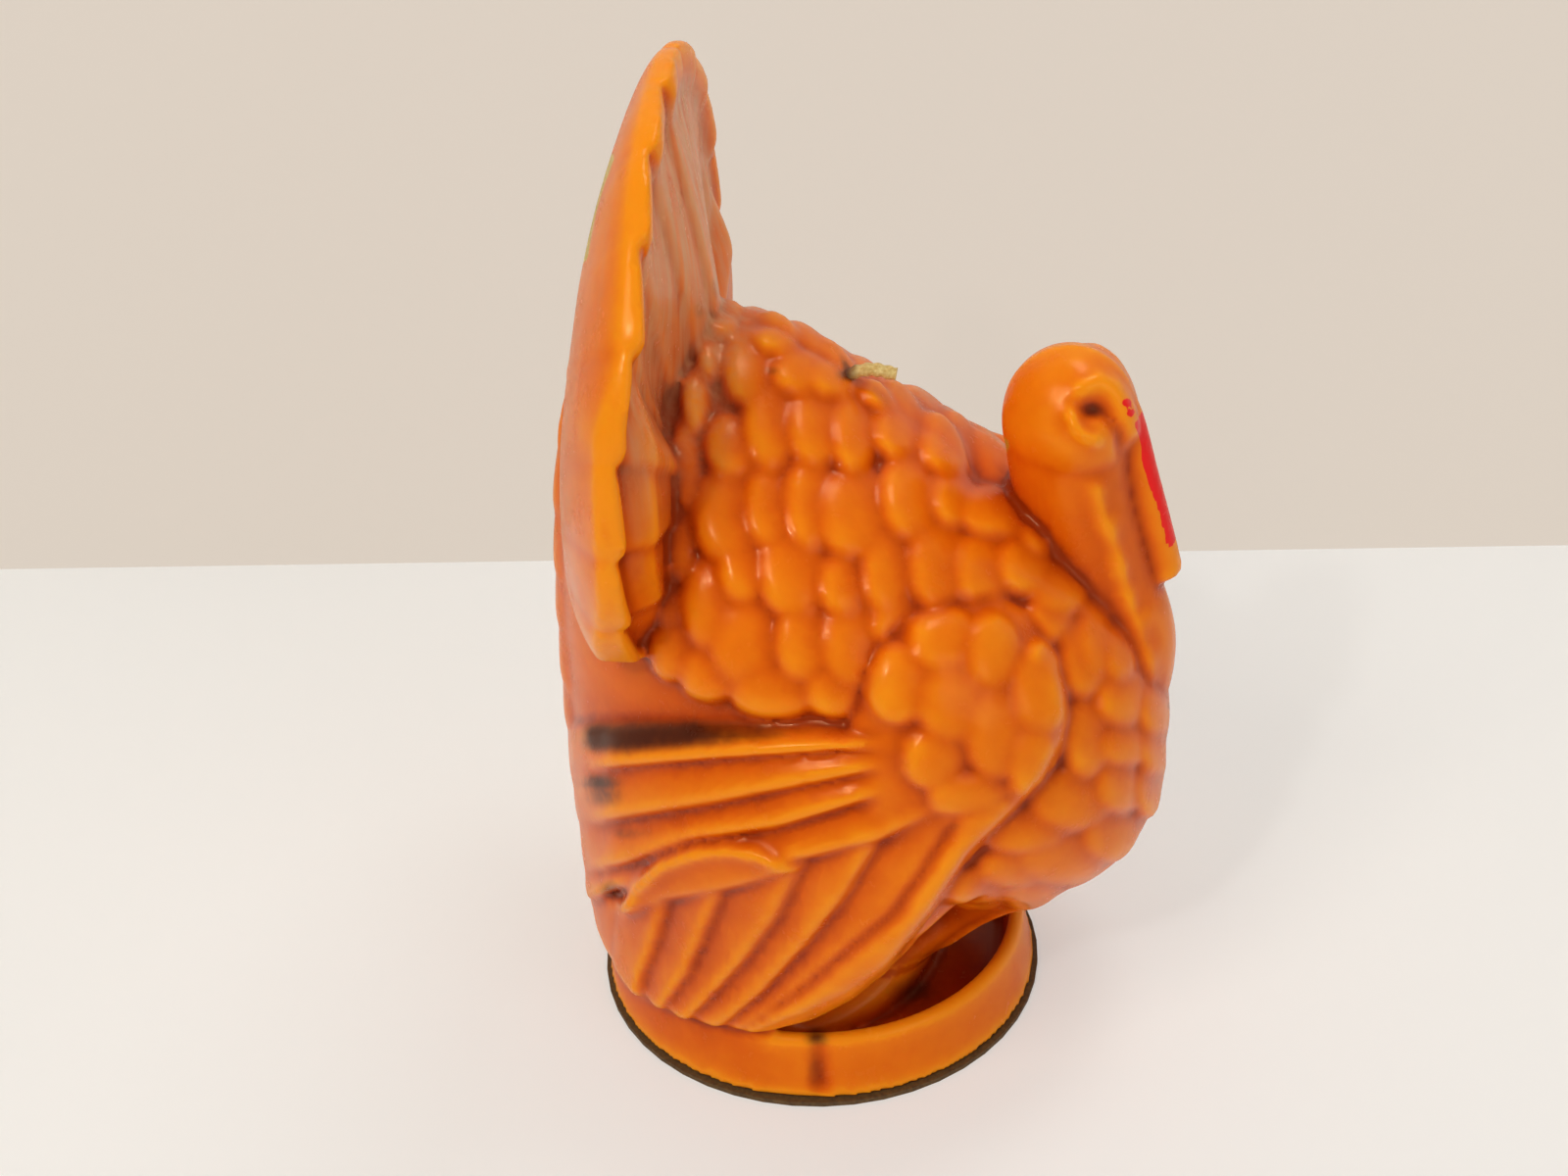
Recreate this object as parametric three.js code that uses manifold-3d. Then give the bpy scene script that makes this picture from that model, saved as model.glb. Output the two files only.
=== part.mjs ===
// Turkey figure: a moulded wax candle with its poured core, wick, wick tab and base card.
// Millimetres, +Z up. The bird faces +X and the mould parts on the plane Y = 0.
// The middle of the foot's underside is the origin.
import * as THREE from "three";
import { mergeVertices } from "three/addons/utils/BufferGeometryUtils.js";
import Module from "manifold-3d";

const wasm = await Module();
wasm.setup();

// Plinth: the round foot with an open tray in front of the legs.
const PLINTH_RADIUS = 34.4;
const PLINTH_FLARE = 2; // how much wider the wall is at the bottom
const PLINTH_HEIGHT = 11;
const PLINTH_RIM = 2.4;
const RIM_ROUND = 1;
const TRAY_DEPTH = 6.8;
const TRAY_BACK = 8; // how far the tray reaches behind the middle

// Body: the heights and reaches that the section shares below follow.
const BODY_HEIGHT = 111;
const BREAST_REACH = 54;
const BACK_REACH = 38.7;
const BODY_HALF_WIDTH = 37;
const TUCK_REACH = 9; // over which the sides draw in, forward from the wing's edge

// Tail fan: a thick scalloped disc, domed behind and fluted in front.
const FAN_RADIUS = 43;
const FAN_RISE = 35.6; // of its top over the top of the back
const FAN_FRONT = 15; // how far behind the middle the top of its front edge stands
const FAN_SWEEP = 2.8; // how far its lower ends lie behind the top
const FAN_RIM = 2.6;
const FAN_DEPTH = 12.6; // of the dome behind the rim
const FAN_DROP = 18; // how far the dome's peak lies under the fan's middle
const FAN_CROWN = 8.4; // how far the middle feather stands in front of the rim
const FAN_NOTCH = 1.3;
const FAN_FLUTE = 1.1;
const FAN_FEATHERS = 15;
const FAN_END = THREE.MathUtils.degToRad(134); // from the top round to where the scalloped edge ends
const FAN_TUCK_SHARE = 0.35; // of the radius, by which the fan draws in below its ends

// Wing: pads, quills and scales that stand out from the body's side.
const SHOULDER_LENGTH = 16;
const SHOULDER_HEIGHT = 14;
const SHOULDER_STAND = 3.2;
const QUILL_COUNT = 4;
const QUILL_STAND = 3.6;
const QUILL_BOW_SHARE = -0.06; // of a quill's length, by which it bows down
const PRIMARY_COUNT = 5;
const PRIMARY_STAND = 3.4;
const PRIMARY_BOW_SHARE = 0.12;
const PAD_GROOVE_SHARE = 0.35; // of a feather's stand, left in the groove beside it
const PAD_NOTCH_SHARE = 0.05; // of a feather's length, by which the groove ends short
const EDGE_HALF_WIDTH = 4.6;
const EDGE_STAND = 4.4;
const FLAP_HALF_WIDTH = 4.6;
const FLAP_STAND = 6;

// Scales: rounded feather tips in staggered rows.
const SCALE_PITCH = 10.4;
const SCALE_ROW = 9.6;
const SCALE_HALF_WIDTH = 5.2;
const SCALE_HALF_HEIGHT = 6.1;
const SCALE_STAND = 1.8;
const SCALE_SINK = 0.3; // of a scale's middle into the skin, so that its edge meets the skin
const FRONT_ROWS = 4; // of scales down the front of the breast
const FRONT_COLUMNS = 2; // from the middle of the breast round to the side
const FRONT_START = 14; // from the foot's top up to the lowest of them

// Head, neck and snood.
const HEAD_HALF_LENGTH = 9.7;
const HEAD_HALF_WIDTH = 9;
const HEAD_HALF_HEIGHT = 10.6;
const HEAD_SET_BACK = 18; // of its middle behind the breast
const HEAD_DROP = 13.3; // of its middle under the top of the back
const NECK_RADIUS = 7.6;
const SNOOD_HALF_WIDTH = 3.1;
const SNOOD_HALF_DEPTH = 2.9;
const EYE_RING_RADIUS = 2.5;
const EYE_RING_THICK = 0.8;

// Pieces inside and under the figure.
const SHELL_WALL = 6;
const CORE_COVER = 12.4; // wax over the core where the wick leaves the back
const WICK_WIDTH = 2.6;
const WICK_THICK = 1.7;
const WICK_STUB = 7.5; // the bent end on the back
const WICK_BEND = 2.2;
const WICK_DROOP = 1.2; // of the stub's end
const BORE_RADIUS = 2;
const TAB_RADIUS = 7;
const TAB_THICK = 0.4;
const TAB_MARGIN = 1.2; // between the tab and the hollow's front wall
const COLLAR_RADIUS = 2.6;
const COLLAR_HEIGHT = 4;
const CARD_OVERHANG = 0.5;
const CARD_THICK = 0.8;
const GAP = 0.3; // between neighbouring pieces
const OVERRUN = 2; // of a cutter past the face that it cuts
const FACET_TOLERANCE = 0.2; // how far a small facet may move when it is merged into its neighbours

const CASTING_BOTTOM = CARD_THICK + GAP;
const FAN_TOP = BODY_HEIGHT + FAN_RISE;
const FAN_MIDDLE = FAN_TOP - FAN_RADIUS;
const HEAD_FORWARD = BREAST_REACH - HEAD_SET_BACK;
const HEAD_MIDDLE = BODY_HEIGHT - HEAD_DROP;
const FULL_TURN = 2 * Math.PI;

// Body sections from foot to back ridge: height, front, back and half width, as shares of the body's sizes,
// and the share by which the sides draw in under the breast, in front of the wings.
const sectionShares = [
  [0, 0.35, 0.86, 0.74, 0],
  [0.064, 0.37, 0.905, 0.78, 0.1],
  [0.1, 0.41, 0.92, 0.83, 0.5],
  [0.155, 0.53, 0.93, 0.87, 0.85],
  [0.227, 0.75, 0.94, 0.915, 0.6],
  [0.314, 0.93, 0.95, 0.965, 0.2],
  [0.42, 0.965, 0.95, 1, 0],
  [0.53, 0.94, 0.945, 0.99, 0],
  [0.63, 0.84, 0.935, 0.955, 0],
  [0.715, 0.68, 0.92, 0.885, 0],
  [0.79, 0.49, 0.9, 0.77, 0],
  [0.86, 0.28, 0.87, 0.61, 0],
  [0.92, 0.12, 0.83, 0.43, 0],
  [0.97, -0.01, 0.79, 0.26, 0],
  [1, -0.12, 0.75, 0.12, 0],
];

// The half outline of a scale: out and up, as shares of its reach and its stand.
const domeShares = [[0, -1], [1, -0.35], [0.6, 0.75], [0, 1]];

// Wing feathers, each a curve of places.
// A place is forward as a share of the breast's reach, and up as a share of the body's height.
const quillRootShares = [[0.2, 0.64], [0.37, 0.515]];
const quillTipShares = [[-0.6, 0.535], [-0.56, 0.26]];
const primaryRootShares = [[-0.44, 0.33], [0.58, 0.53]];
const primaryTipShares = [[-0.52, 0.1], [0.06, 0.09]];
const edgeShares = [
  [0.64, 0.53], [0.54, 0.46], [0.42, 0.385], [0.31, 0.28], [0.19, 0.19], [0.03, 0.135],
];
const flapShares = [[0.05, 0.445], [-0.1, 0.44], [-0.25, 0.4], [-0.4, 0.32]];
const shoulderShares = [0.47, 0.6];

// Scales of the bird's right side: a place as above, then half width and half height as shares.
const flankScaleShares = [
  [-0.11, 0.97, 0.6, 0.85], [0.01, 0.96, 0.85, 0.55], [-0.05, 0.92, 0.65, 1], [-0.13, 0.91, 0.6, 0.65],
  [0.06, 0.91, 0.75, 0.85], [0.15, 0.89, 0.65, 1], [0.25, 0.88, 0.9, 1], [0.37, 0.84, 1.15, 1.15],
  [-0.13, 0.85, 0.8, 0.95], [-0.03, 0.85, 0.55, 0.85], [0.06, 0.85, 0.6, 0.95], [0.16, 0.84, 0.9, 0.95],
  [0.29, 0.83, 0.85, 1.05], [0.4, 0.81, 0.7, 0.8], [0.51, 0.78, 1.15, 0.85], [-0.17, 0.76, 0.7, 0.9],
  [-0.09, 0.8, 0.55, 0.65], [0.03, 0.79, 0.8, 0.9], [0.15, 0.78, 0.55, 0.6], [0.26, 0.78, 0.65, 0.9],
  [0.38, 0.765, 0.8, 0.9], [0.48, 0.76, 0.8, 0.85], [0.59, 0.74, 1, 0.75], [-0.08, 0.72, 0.9, 0.9],
  [0.07, 0.72, 0.7, 0.8], [0.19, 0.72, 0.85, 0.9], [-0.01, 0.67, 1.05, 0.6], [0.62, 0.74, 1.05, 0.9],
  [-0.17, 0.68, 0.75, 0.6], [0.15, 0.67, 0.75, 0.55], [0.28, 0.72, 0.65, 0.6], [-0.06, 0.99, 0.65, 0.4],
  [0.09, 0.94, 0.95, 0.65], [-0.23, 0.95, 0.3, 0.7], [-0.24, 0.89, 0.35, 0.9], [-0.24, 0.82, 0.4, 0.8],
  [-0.28, 0.76, 0.5, 0.65], [-0.27, 0.7, 0.65, 0.7],
];
const breastScaleShares = [
  [0.84, 0.57, 1.1, 0.65], [0.94, 0.51, 0.65, 0.6], [0.76, 0.55, 0.75, 0.85], [0.85, 0.51, 1.15, 0.5],
  [0.95, 0.45, 0.65, 0.7], [0.84, 0.46, 1.05, 0.7], [0.94, 0.38, 0.6, 0.8], [0.72, 0.47, 1.15, 0.75],
  [0.6, 0.46, 1.15, 0.6], [0.84, 0.37, 1.1, 0.8], [0.7, 0.39, 1.15, 0.9], [0.58, 0.4, 0.95, 0.65],
  [0.5, 0.38, 0.85, 0.6], [0.67, 0.7, 1.05, 0.75], [0.77, 0.64, 0.7, 0.95], [0.53, 0.29, 1.15, 0.65],
  [0.65, 0.31, 1.05, 0.6], [0.83, 0.61, 0.8, 0.65],
];
const shoulderScaleShares = [
  [0.4, 0.72, 0.75, 0.65], [0.52, 0.7, 0.65, 0.7], [0.3, 0.69, 0.75, 0.8], [0.43, 0.67, 0.9, 0.75],
  [0.54, 0.62, 0.7, 0.85], [0.63, 0.65, 0.8, 0.75], [0.65, 0.57, 0.8, 0.85], [0.52, 0.56, 0.95, 0.55],
  [0.41, 0.6, 0.8, 0.7], [0.64, 0.7, 0.8, 0.6], [0.33, 0.63, 0.7, 0.6], [0.43, 0.53, 0.65, 0.45],
  [0.72, 0.66, 0.65, 0.8],
];

// Neck and snood, from the head down: forward and up as above, then thickness as a share.
const neckShares = [
  [0.675, 0.9, 1], [0.71, 0.79, 0.94], [0.775, 0.675, 0.92], [0.845, 0.575, 1],
];
const snoodShares = [
  [0.742, 0.945, 0.6], [0.804, 0.89, 0.9], [0.858, 0.8, 0.95], [0.905, 0.715, 1], [0.931, 0.668, 1],
];

const eyeFacing = new THREE.Vector3(0.35, -1, 0.15).normalize();

// A closed mesh as a solid, with its faces turned outward.
function solid(geometry) {
  const bare = geometry.clone();
  bare.deleteAttribute("normal");
  bare.deleteAttribute("uv");
  const merged = mergeVertices(bare);
  const triVerts = new Uint32Array(merged.index.array);
  const vertProperties = merged.attributes.position.array;
  const body = new wasm.Manifold(new wasm.Mesh({ numProp: 3, vertProperties, triVerts }));
  if (body.volume() > 0) return body;
  return new wasm.Manifold(new wasm.Mesh({ numProp: 3, vertProperties, triVerts: triVerts.reverse() }));
}

// Many closed meshes as one solid.
function union(geometries) {
  return geometries.map(solid).reduce((all, next) => all.add(next));
}

// The same solid without sealed pockets, because poured wax fills them.
function pocketsFilled(body) {
  return body
    .decompose()
    .filter((part) => part.volume() > 0)
    .reduce((all, next) => all.add(next));
}

// Joins rings of points, one after another, into a closed skin with a flat fan at each end.
function loft(rings) {
  const count = rings[0].length;
  const points = rings.flat();
  const faces = [];
  for (let r = 0; r + 1 < rings.length; r++) {
    for (let i = 0; i < count; i++) {
      const here = r * count + i;
      const next = r * count + ((i + 1) % count);
      faces.push(here, next, here + count, next, next + count, here + count);
    }
  }
  const last = (rings.length - 1) * count;
  for (const ring of [rings[0], rings[rings.length - 1]]) {
    points.push(ring.reduce((sum, p) => sum.add(p), new THREE.Vector3()).divideScalar(count));
  }
  for (let i = 0; i < count; i++) {
    const next = (i + 1) % count;
    faces.push(next, i, last + count);
    faces.push(last + i, last + next, last + count + 1);
  }
  return new THREE.BufferGeometry().setFromPoints(points).setIndex(faces);
}

// The same form on the bird's other side.
function otherSide(geometry) {
  const turned = geometry.clone().scale(1, -1, 1);
  turned.index.array.reverse();
  return turned;
}

function bothSides(geometries) {
  return geometries.flatMap((geometry) => [geometry, otherSide(geometry)]);
}

const place = ([forward, up]) => new THREE.Vector3(forward * BREAST_REACH, 0, up * BODY_HEIGHT);

const sectionCurve = new THREE.CubicInterpolant(
  sectionShares.map(([up]) => up * BODY_HEIGHT),
  sectionShares.flatMap(([, front, back, half, tuck]) => [
    front * BREAST_REACH, back * BACK_REACH, half * BODY_HALF_WIDTH, tuck,
  ]),
  4,
);

// How far forward the wing's leading edge lies at a height.
function wingFront(height) {
  const above = edgeShares.findLastIndex(([, up]) => up * BODY_HEIGHT > height);
  if (above < 0) return edgeShares[0][0] * BREAST_REACH + EDGE_HALF_WIDTH;
  const from = place(edgeShares[above]);
  const to = place(edgeShares[Math.min(above + 1, edgeShares.length - 1)]);
  const share = (from.z - height) / Math.max(from.z - to.z, GAP);
  return THREE.MathUtils.lerp(from.x, to.x, Math.min(share, 1)) + EDGE_HALF_WIDTH;
}

// The share of its width that the body keeps at a place, where it draws in behind the round of the breast.
function keptWidth(x, height) {
  const [front, back, , tuck] = sectionCurve.evaluate(THREE.MathUtils.clamp(height, 0, BODY_HEIGHT));
  const forward = (2 * x - front + back) / (front + back);
  const edge = wingFront(height);
  const start = THREE.MathUtils.smoothstep(x, edge, edge + TUCK_REACH);
  return 1 - tuck * start * Math.max(1 - forward * forward, 0);
}

// The body's oval section at a height: its middle, half length and half width.
function section(height) {
  const [front, back, halfWidth] = sectionCurve.evaluate(THREE.MathUtils.clamp(height, 0, BODY_HEIGHT));
  return { middle: (front - back) / 2, halfLength: (front + back) / 2, halfWidth };
}

function sectionRing(height, inset, count) {
  const { middle, halfLength, halfWidth } = section(height);
  return Array.from({ length: count }, (_, i) => {
    const turn = (i / count) * FULL_TURN;
    const x = middle + (halfLength - inset) * Math.cos(turn);
    return new THREE.Vector3(x, (halfWidth - inset) * Math.sin(turn) * keptWidth(x, height), height);
  });
}

// The body's inner or outer form between two heights.
function trunk(bottom, top, inset, levels, count) {
  const rings = Array.from({ length: levels }, (_, i) => {
    return sectionRing(THREE.MathUtils.lerp(bottom, top, i / (levels - 1)), inset, count);
  });
  return loft(rings);
}

// How high the back ridge is at a place in front of the middle.
function backAbove(forward) {
  let height = BODY_HEIGHT;
  while (section(height).middle + section(height).halfLength < forward) height -= GAP;
  return height;
}

// How far in front of the middle the wick stands, and how high the core reaches there.
const foot = section(CASTING_BOTTOM);
const WICK_PLACE = foot.middle + foot.halfLength - SHELL_WALL - TAB_MARGIN - TAB_RADIUS;
const CORE_TOP = backAbove(WICK_PLACE) - CORE_COVER;

// The skin of the body's right side, at a turn from straight ahead and at a height.
function skinPoint(turn, z) {
  const { middle, halfLength, halfWidth } = section(z);
  const x = middle + halfLength * Math.cos(turn);
  return new THREE.Vector3(x, -halfWidth * Math.sin(turn) * keptWidth(x, z), z);
}

function skinNormal(turn, z) {
  const step = OVERRUN / BODY_HALF_WIDTH;
  const along = skinPoint(turn - step, z).sub(skinPoint(turn + step, z));
  const up = skinPoint(turn, z + OVERRUN).sub(skinPoint(turn, z - OVERRUN));
  return along.cross(up).normalize();
}

// The turn at which the right side lies beside a place on the mid-plane.
function sideTurn(x, z) {
  const { middle, halfLength } = section(z);
  return Math.acos(THREE.MathUtils.clamp((x - middle) / halfLength, -0.98, 0.98));
}

const sidePoint = (x, z) => skinPoint(sideTurn(x, z), z);
const sideNormal = (x, z) => skinNormal(sideTurn(x, z), z);

// A feather's fullness along its length: blunt at both ends and full between them.
function swellAt(share, blunt) {
  return Math.sqrt(Math.sin(Math.PI * THREE.MathUtils.lerp(blunt, 1 - blunt, share)));
}

// A feather on the body's side: an oval that swells and tapers along a curve of places.
function feather(places, halfWidth, stand, rootShare) {
  const path = new THREE.CatmullRomCurve3(places);
  const steps = 5;
  const sides = 6;
  const rings = Array.from({ length: steps + 1 }, (_, i) => {
    const share = i / steps;
    const swell = swellAt(share, 0.06);
    const width = halfWidth * swell * THREE.MathUtils.lerp(rootShare, 1, share);
    const { x, z } = path.getPoint(share);
    const middle = sidePoint(x, z);
    const normal = sideNormal(x, z);
    const ahead = path.getPoint(Math.min(share + 0.02, 1));
    const behind = path.getPoint(Math.max(share - 0.02, 0));
    const tangent = sidePoint(ahead.x, ahead.z).sub(sidePoint(behind.x, behind.z)).normalize();
    const across = tangent.cross(normal).normalize();
    return Array.from({ length: sides }, (_, k) => {
      const turn = ((k + 0.5) / sides) * FULL_TURN;
      return middle
        .clone()
        .addScaledVector(across, width * Math.cos(turn))
        .addScaledVector(normal, stand * swell * Math.sin(turn));
    });
  });
  return loft(rings);
}

// A pad of long feathers from a line of roots to a line of tips.
// Each rises from its groove to its far edge, and drops there to the next.
function featherPad(rootShares, tipShares, count, bow, stand) {
  const steps = 5;
  const samples = count * 4;
  const point = (across, along, out) => {
    const root = place(rootShares[0]).lerp(place(rootShares[1]), across);
    const tip = place(tipShares[0]).lerp(place(tipShares[1]), across);
    const bend = root.clone().lerp(tip, 0.5);
    bend.z -= bow * root.distanceTo(tip);
    const { x, z } = new THREE.QuadraticBezierCurve3(root, bend, tip).getPoint(along);
    return sidePoint(x, z).addScaledVector(sideNormal(x, z), out);
  };
  const rings = Array.from({ length: steps + 1 }, (_, j) => {
    const along = j / steps;
    const swell = swellAt(along, 0.08);
    const outer = Array.from({ length: samples + 1 }, (_, i) => {
      const rib = Math.sqrt(((count * i) / samples) % 1);
      const reach = along * (1 - PAD_NOTCH_SHARE * (1 - rib));
      return point(i / samples, reach, stand * swell * (PAD_GROOVE_SHARE + (1 - PAD_GROOVE_SHARE) * rib));
    });
    const inner = [1, 0.5, 0].map((across) => point(across, along * (1 - PAD_NOTCH_SHARE), -2 * stand));
    return [...outer, ...inner];
  });
  return loft(rings);
}

// Lays a form that faces +Z onto a place, turned to face along the normal with its +Y upward.
function layOn(geometry, point, normal) {
  const up = new THREE.Vector3(0, 0, 1).addScaledVector(normal, -normal.z).normalize();
  const turn = new THREE.Matrix4().makeBasis(up.clone().cross(normal), up, normal);
  return geometry.applyMatrix4(turn.setPosition(point));
}

// A rounded scale at a place on the bird's right side, so high over the skin there.
function scale([forward, up, width, height], rise) {
  const { x, z } = place([forward, up]);
  const normal = sideNormal(x, z);
  const profile = domeShares.map((shares) => new THREE.Vector2(...shares));
  const dome = new THREE.LatheGeometry(profile, 5).rotateX(Math.PI / 2);
  dome.scale(SCALE_HALF_WIDTH * width, SCALE_HALF_HEIGHT * height, SCALE_STAND);
  return layOn(dome, sidePoint(x, z).addScaledVector(normal, rise), normal);
}

// How far a place lies from the shoulder's middle: 1 on the shoulder's edge.
function fromShoulder(x, z) {
  const shoulder = place(shoulderShares);
  return Math.hypot((x - shoulder.x) / SHOULDER_LENGTH, (z - shoulder.z) / SHOULDER_HEIGHT);
}

// The scales of back, flank and breast, and staggered rows of them down the front.
function bodyScales() {
  const listed = [...flankScaleShares, ...breastScaleShares];
  const rows = [];
  for (let row = 0; row < FRONT_ROWS; row++) {
    const z = PLINTH_HEIGHT + FRONT_START + row * SCALE_ROW;
    const { middle, halfLength, halfWidth } = section(z);
    for (let k = row % 2 ? 0.5 : 1; k < FRONT_COLUMNS; k++) {
      const x = middle + halfLength * Math.cos((k * SCALE_PITCH) / halfWidth);
      const spot = sidePoint(x, z);
      const clear = listed.every(([forward, up]) => {
        const other = place([forward, up]);
        return spot.distanceTo(sidePoint(other.x, other.z)) > SCALE_PITCH * 0.8;
      });
      if (clear) rows.push([x / BREAST_REACH, z / BODY_HEIGHT, 1, 1]);
    }
  }
  return [...listed, ...rows].map((shares) => scale(shares, -SCALE_SINK));
}

// The shoulder: a low dome that follows the body's skin.
function shoulderPad() {
  const count = 14;
  const middle = place(shoulderShares);
  const ring = (share, out) => {
    return Array.from({ length: count }, (_, i) => {
      const turn = (i / count) * FULL_TURN;
      const x = middle.x + SHOULDER_LENGTH * share * Math.cos(turn);
      const z = middle.z + SHOULDER_HEIGHT * share * Math.sin(turn);
      return sidePoint(x, z).addScaledVector(sideNormal(x, z), out);
    });
  };
  const dome = [1, 0.8, 0.45, 0.05].map((share) => {
    return ring(share, SHOULDER_STAND * Math.sqrt(1 - share * share));
  });
  return loft([ring(0.05, -SHOULDER_STAND), ring(1, -SHOULDER_STAND), ...dome]);
}

// The bird's right wing: shoulder with its coverts, quills, primaries, leading edge and curled flap.
function wing() {
  const coverts = shoulderScaleShares.map((shares) => {
    const { x, z } = place(shares);
    const away = Math.min(fromShoulder(x, z), 1);
    return scale(shares, SHOULDER_STAND * Math.sqrt(1 - away * away) - SCALE_SINK / 2);
  });
  return [
    shoulderPad(),
    ...coverts,
    featherPad(quillRootShares, quillTipShares, QUILL_COUNT, QUILL_BOW_SHARE, QUILL_STAND),
    featherPad(primaryRootShares, primaryTipShares, PRIMARY_COUNT, PRIMARY_BOW_SHARE, PRIMARY_STAND),
    feather(edgeShares.map(place), EDGE_HALF_WIDTH, EDGE_STAND, 0.9),
    feather(flapShares.map(place), FLAP_HALF_WIDTH, FLAP_STAND, 0.8),
  ];
}

// How full a fan feather is at an angle from the top: 1 on its middle line and 0 in a notch.
function lobe(turn) {
  const pitch = (2 * FAN_END) / FAN_FEATHERS;
  return Math.abs(turn) > FAN_END ? 0 : Math.sqrt(Math.abs(Math.cos((Math.PI * turn) / pitch)));
}

// One ring of the fan at a share of its radius, on the dome behind or on the fluted face in front.
function fanRing(share, inFront, count) {
  return Array.from({ length: count }, (_, i) => {
    const turn = (i / count - 0.5) * FULL_TURN;
    const tuck = FAN_TUCK_SHARE * THREE.MathUtils.smoothstep(Math.abs(turn), FAN_END - 0.1, FAN_END + 0.35);
    const radius = (FAN_RADIUS * (1 - tuck) - FAN_NOTCH * (1 - lobe(turn))) * share;
    const z = FAN_MIDDLE - FAN_DROP * (1 - share) + radius * Math.cos(turn);
    const fall = (FAN_TOP - z) / (FAN_RADIUS + FAN_DROP);
    const edge = -FAN_FRONT - FAN_SWEEP * fall * fall;
    const crown = FAN_CROWN * Math.max(Math.cos(turn), 0) ** 4 * (1 - share * share) ** 1.3;
    const flute = FAN_FLUTE * (lobe(turn) - 1) * share;
    const dome = FAN_DEPTH * (1 - share * share) ** 0.85;
    const x = inFront ? edge + crown + flute : edge - FAN_RIM - dome;
    return new THREE.Vector3(x, radius * Math.sin(turn), z);
  });
}

// The fan's skin from the middle of its dome, over the rim and in to the middle of its face.
function tailFan() {
  const count = FAN_FEATHERS * 4;
  const behind = [0.05, 0.4, 0.7, 0.88, 0.97].map((share) => fanRing(share, false, count));
  const front = [1, 0.8, 0.5, 0.05].map((share) => fanRing(share, true, count));
  return loft([...behind, ...front]);
}

// A round or oval tube down the mid-plane, through places that carry a thickness share.
function midTube(shares, halfWidth, halfDepth, steps, sides) {
  const path = new THREE.CatmullRomCurve3(shares.map(place));
  const stations = shares.map((_, i) => i / (shares.length - 1));
  const swell = new THREE.CubicInterpolant(stations, shares.map(([, , size]) => size), 1);
  const rings = Array.from({ length: steps + 1 }, (_, i) => {
    const share = i / steps;
    const middle = path.getPoint(share);
    const tangent = path.getTangent(share);
    const out = new THREE.Vector3(-tangent.z, 0, tangent.x);
    const [size] = swell.evaluate(share);
    return Array.from({ length: sides }, (_, k) => {
      const turn = (k / sides) * FULL_TURN;
      const point = middle.clone().addScaledVector(out, halfDepth * size * Math.cos(turn));
      point.y = halfWidth * size * Math.sin(turn);
      return point;
    });
  });
  return loft(rings);
}

// Skull, eye rings, neck with wattle, and the snood that hangs from the forehead.
function head() {
  const skull = new THREE.SphereGeometry(1, 16, 10);
  skull.scale(HEAD_HALF_LENGTH, HEAD_HALF_WIDTH, HEAD_HALF_HEIGHT);
  skull.translate(HEAD_FORWARD, 0, HEAD_MIDDLE);
  const reach = new THREE.Vector3(HEAD_HALF_LENGTH, HEAD_HALF_WIDTH, HEAD_HALF_HEIGHT);
  const eye = new THREE.Vector3(HEAD_FORWARD, 0, HEAD_MIDDLE).add(reach.multiply(eyeFacing));
  const ring = layOn(new THREE.TorusGeometry(EYE_RING_RADIUS, EYE_RING_THICK, 4, 9), eye, eyeFacing);
  return [
    skull,
    ...bothSides([ring]),
    midTube(neckShares, NECK_RADIUS, NECK_RADIUS, 7, 12),
    midTube(snoodShares, SNOOD_HALF_WIDTH, SNOOD_HALF_DEPTH, 6, 8),
  ];
}

// The foot: a flared round wall with a tray sunk into its front.
function plinth() {
  const topRadius = PLINTH_RADIUS - PLINTH_FLARE;
  const profile = new THREE.Path();
  profile.moveTo(0, CASTING_BOTTOM);
  profile.lineTo(PLINTH_RADIUS, CASTING_BOTTOM);
  profile.absarc(topRadius - RIM_ROUND, PLINTH_HEIGHT - RIM_ROUND, RIM_ROUND, 0, Math.PI / 2);
  profile.lineTo(0, PLINTH_HEIGHT);
  const block = new THREE.LatheGeometry(profile.getPoints(2), 32).rotateX(Math.PI / 2);
  const trayRadius = topRadius - PLINTH_RIM;
  const corner = Math.acos(-TRAY_BACK / trayRadius);
  const tray = new THREE.Shape().absarc(0, 0, trayRadius, -corner, corner);
  const cutter = new THREE.ExtrudeGeometry(tray, {
    depth: TRAY_DEPTH + OVERRUN,
    bevelEnabled: false,
    curveSegments: 16,
  });
  return solid(block).subtract(solid(cutter.translate(0, 0, PLINTH_HEIGHT - TRAY_DEPTH)));
}

// A flat round block that stands on a height.
function disc(radius, bottom, thick, segments) {
  const geometry = new THREE.CylinderGeometry(radius, radius, thick, segments).rotateX(Math.PI / 2);
  return geometry.translate(0, 0, bottom + thick / 2);
}

// A round bar on the wick's line from one height to another.
function wickCylinder(radius, bottom, top) {
  return solid(disc(radius, bottom, top - bottom, 16).translate(WICK_PLACE, 0, 0));
}

// The casting: plinth, body and all that stands on it, less the core's hollow and the wick's hole.
function waxShell() {
  const forms = [
    trunk(CASTING_BOTTOM, BODY_HEIGHT, 0, 15, 24),
    tailFan(),
    ...head(),
    ...bothSides([...wing(), ...bodyScales()]),
  ];
  const hole = wickCylinder(BORE_RADIUS, CORE_TOP - OVERRUN, FAN_TOP);
  const casting = pocketsFilled(plinth().add(union(forms)).simplify(FACET_TOLERANCE));
  return casting.subtract(fill(SHELL_WALL)).subtract(hole);
}

// The form of the poured fill, so far inside the body.
function fill(inset) {
  return solid(trunk(CASTING_BOTTOM - OVERRUN, CORE_TOP, inset, 9, 16));
}

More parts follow.
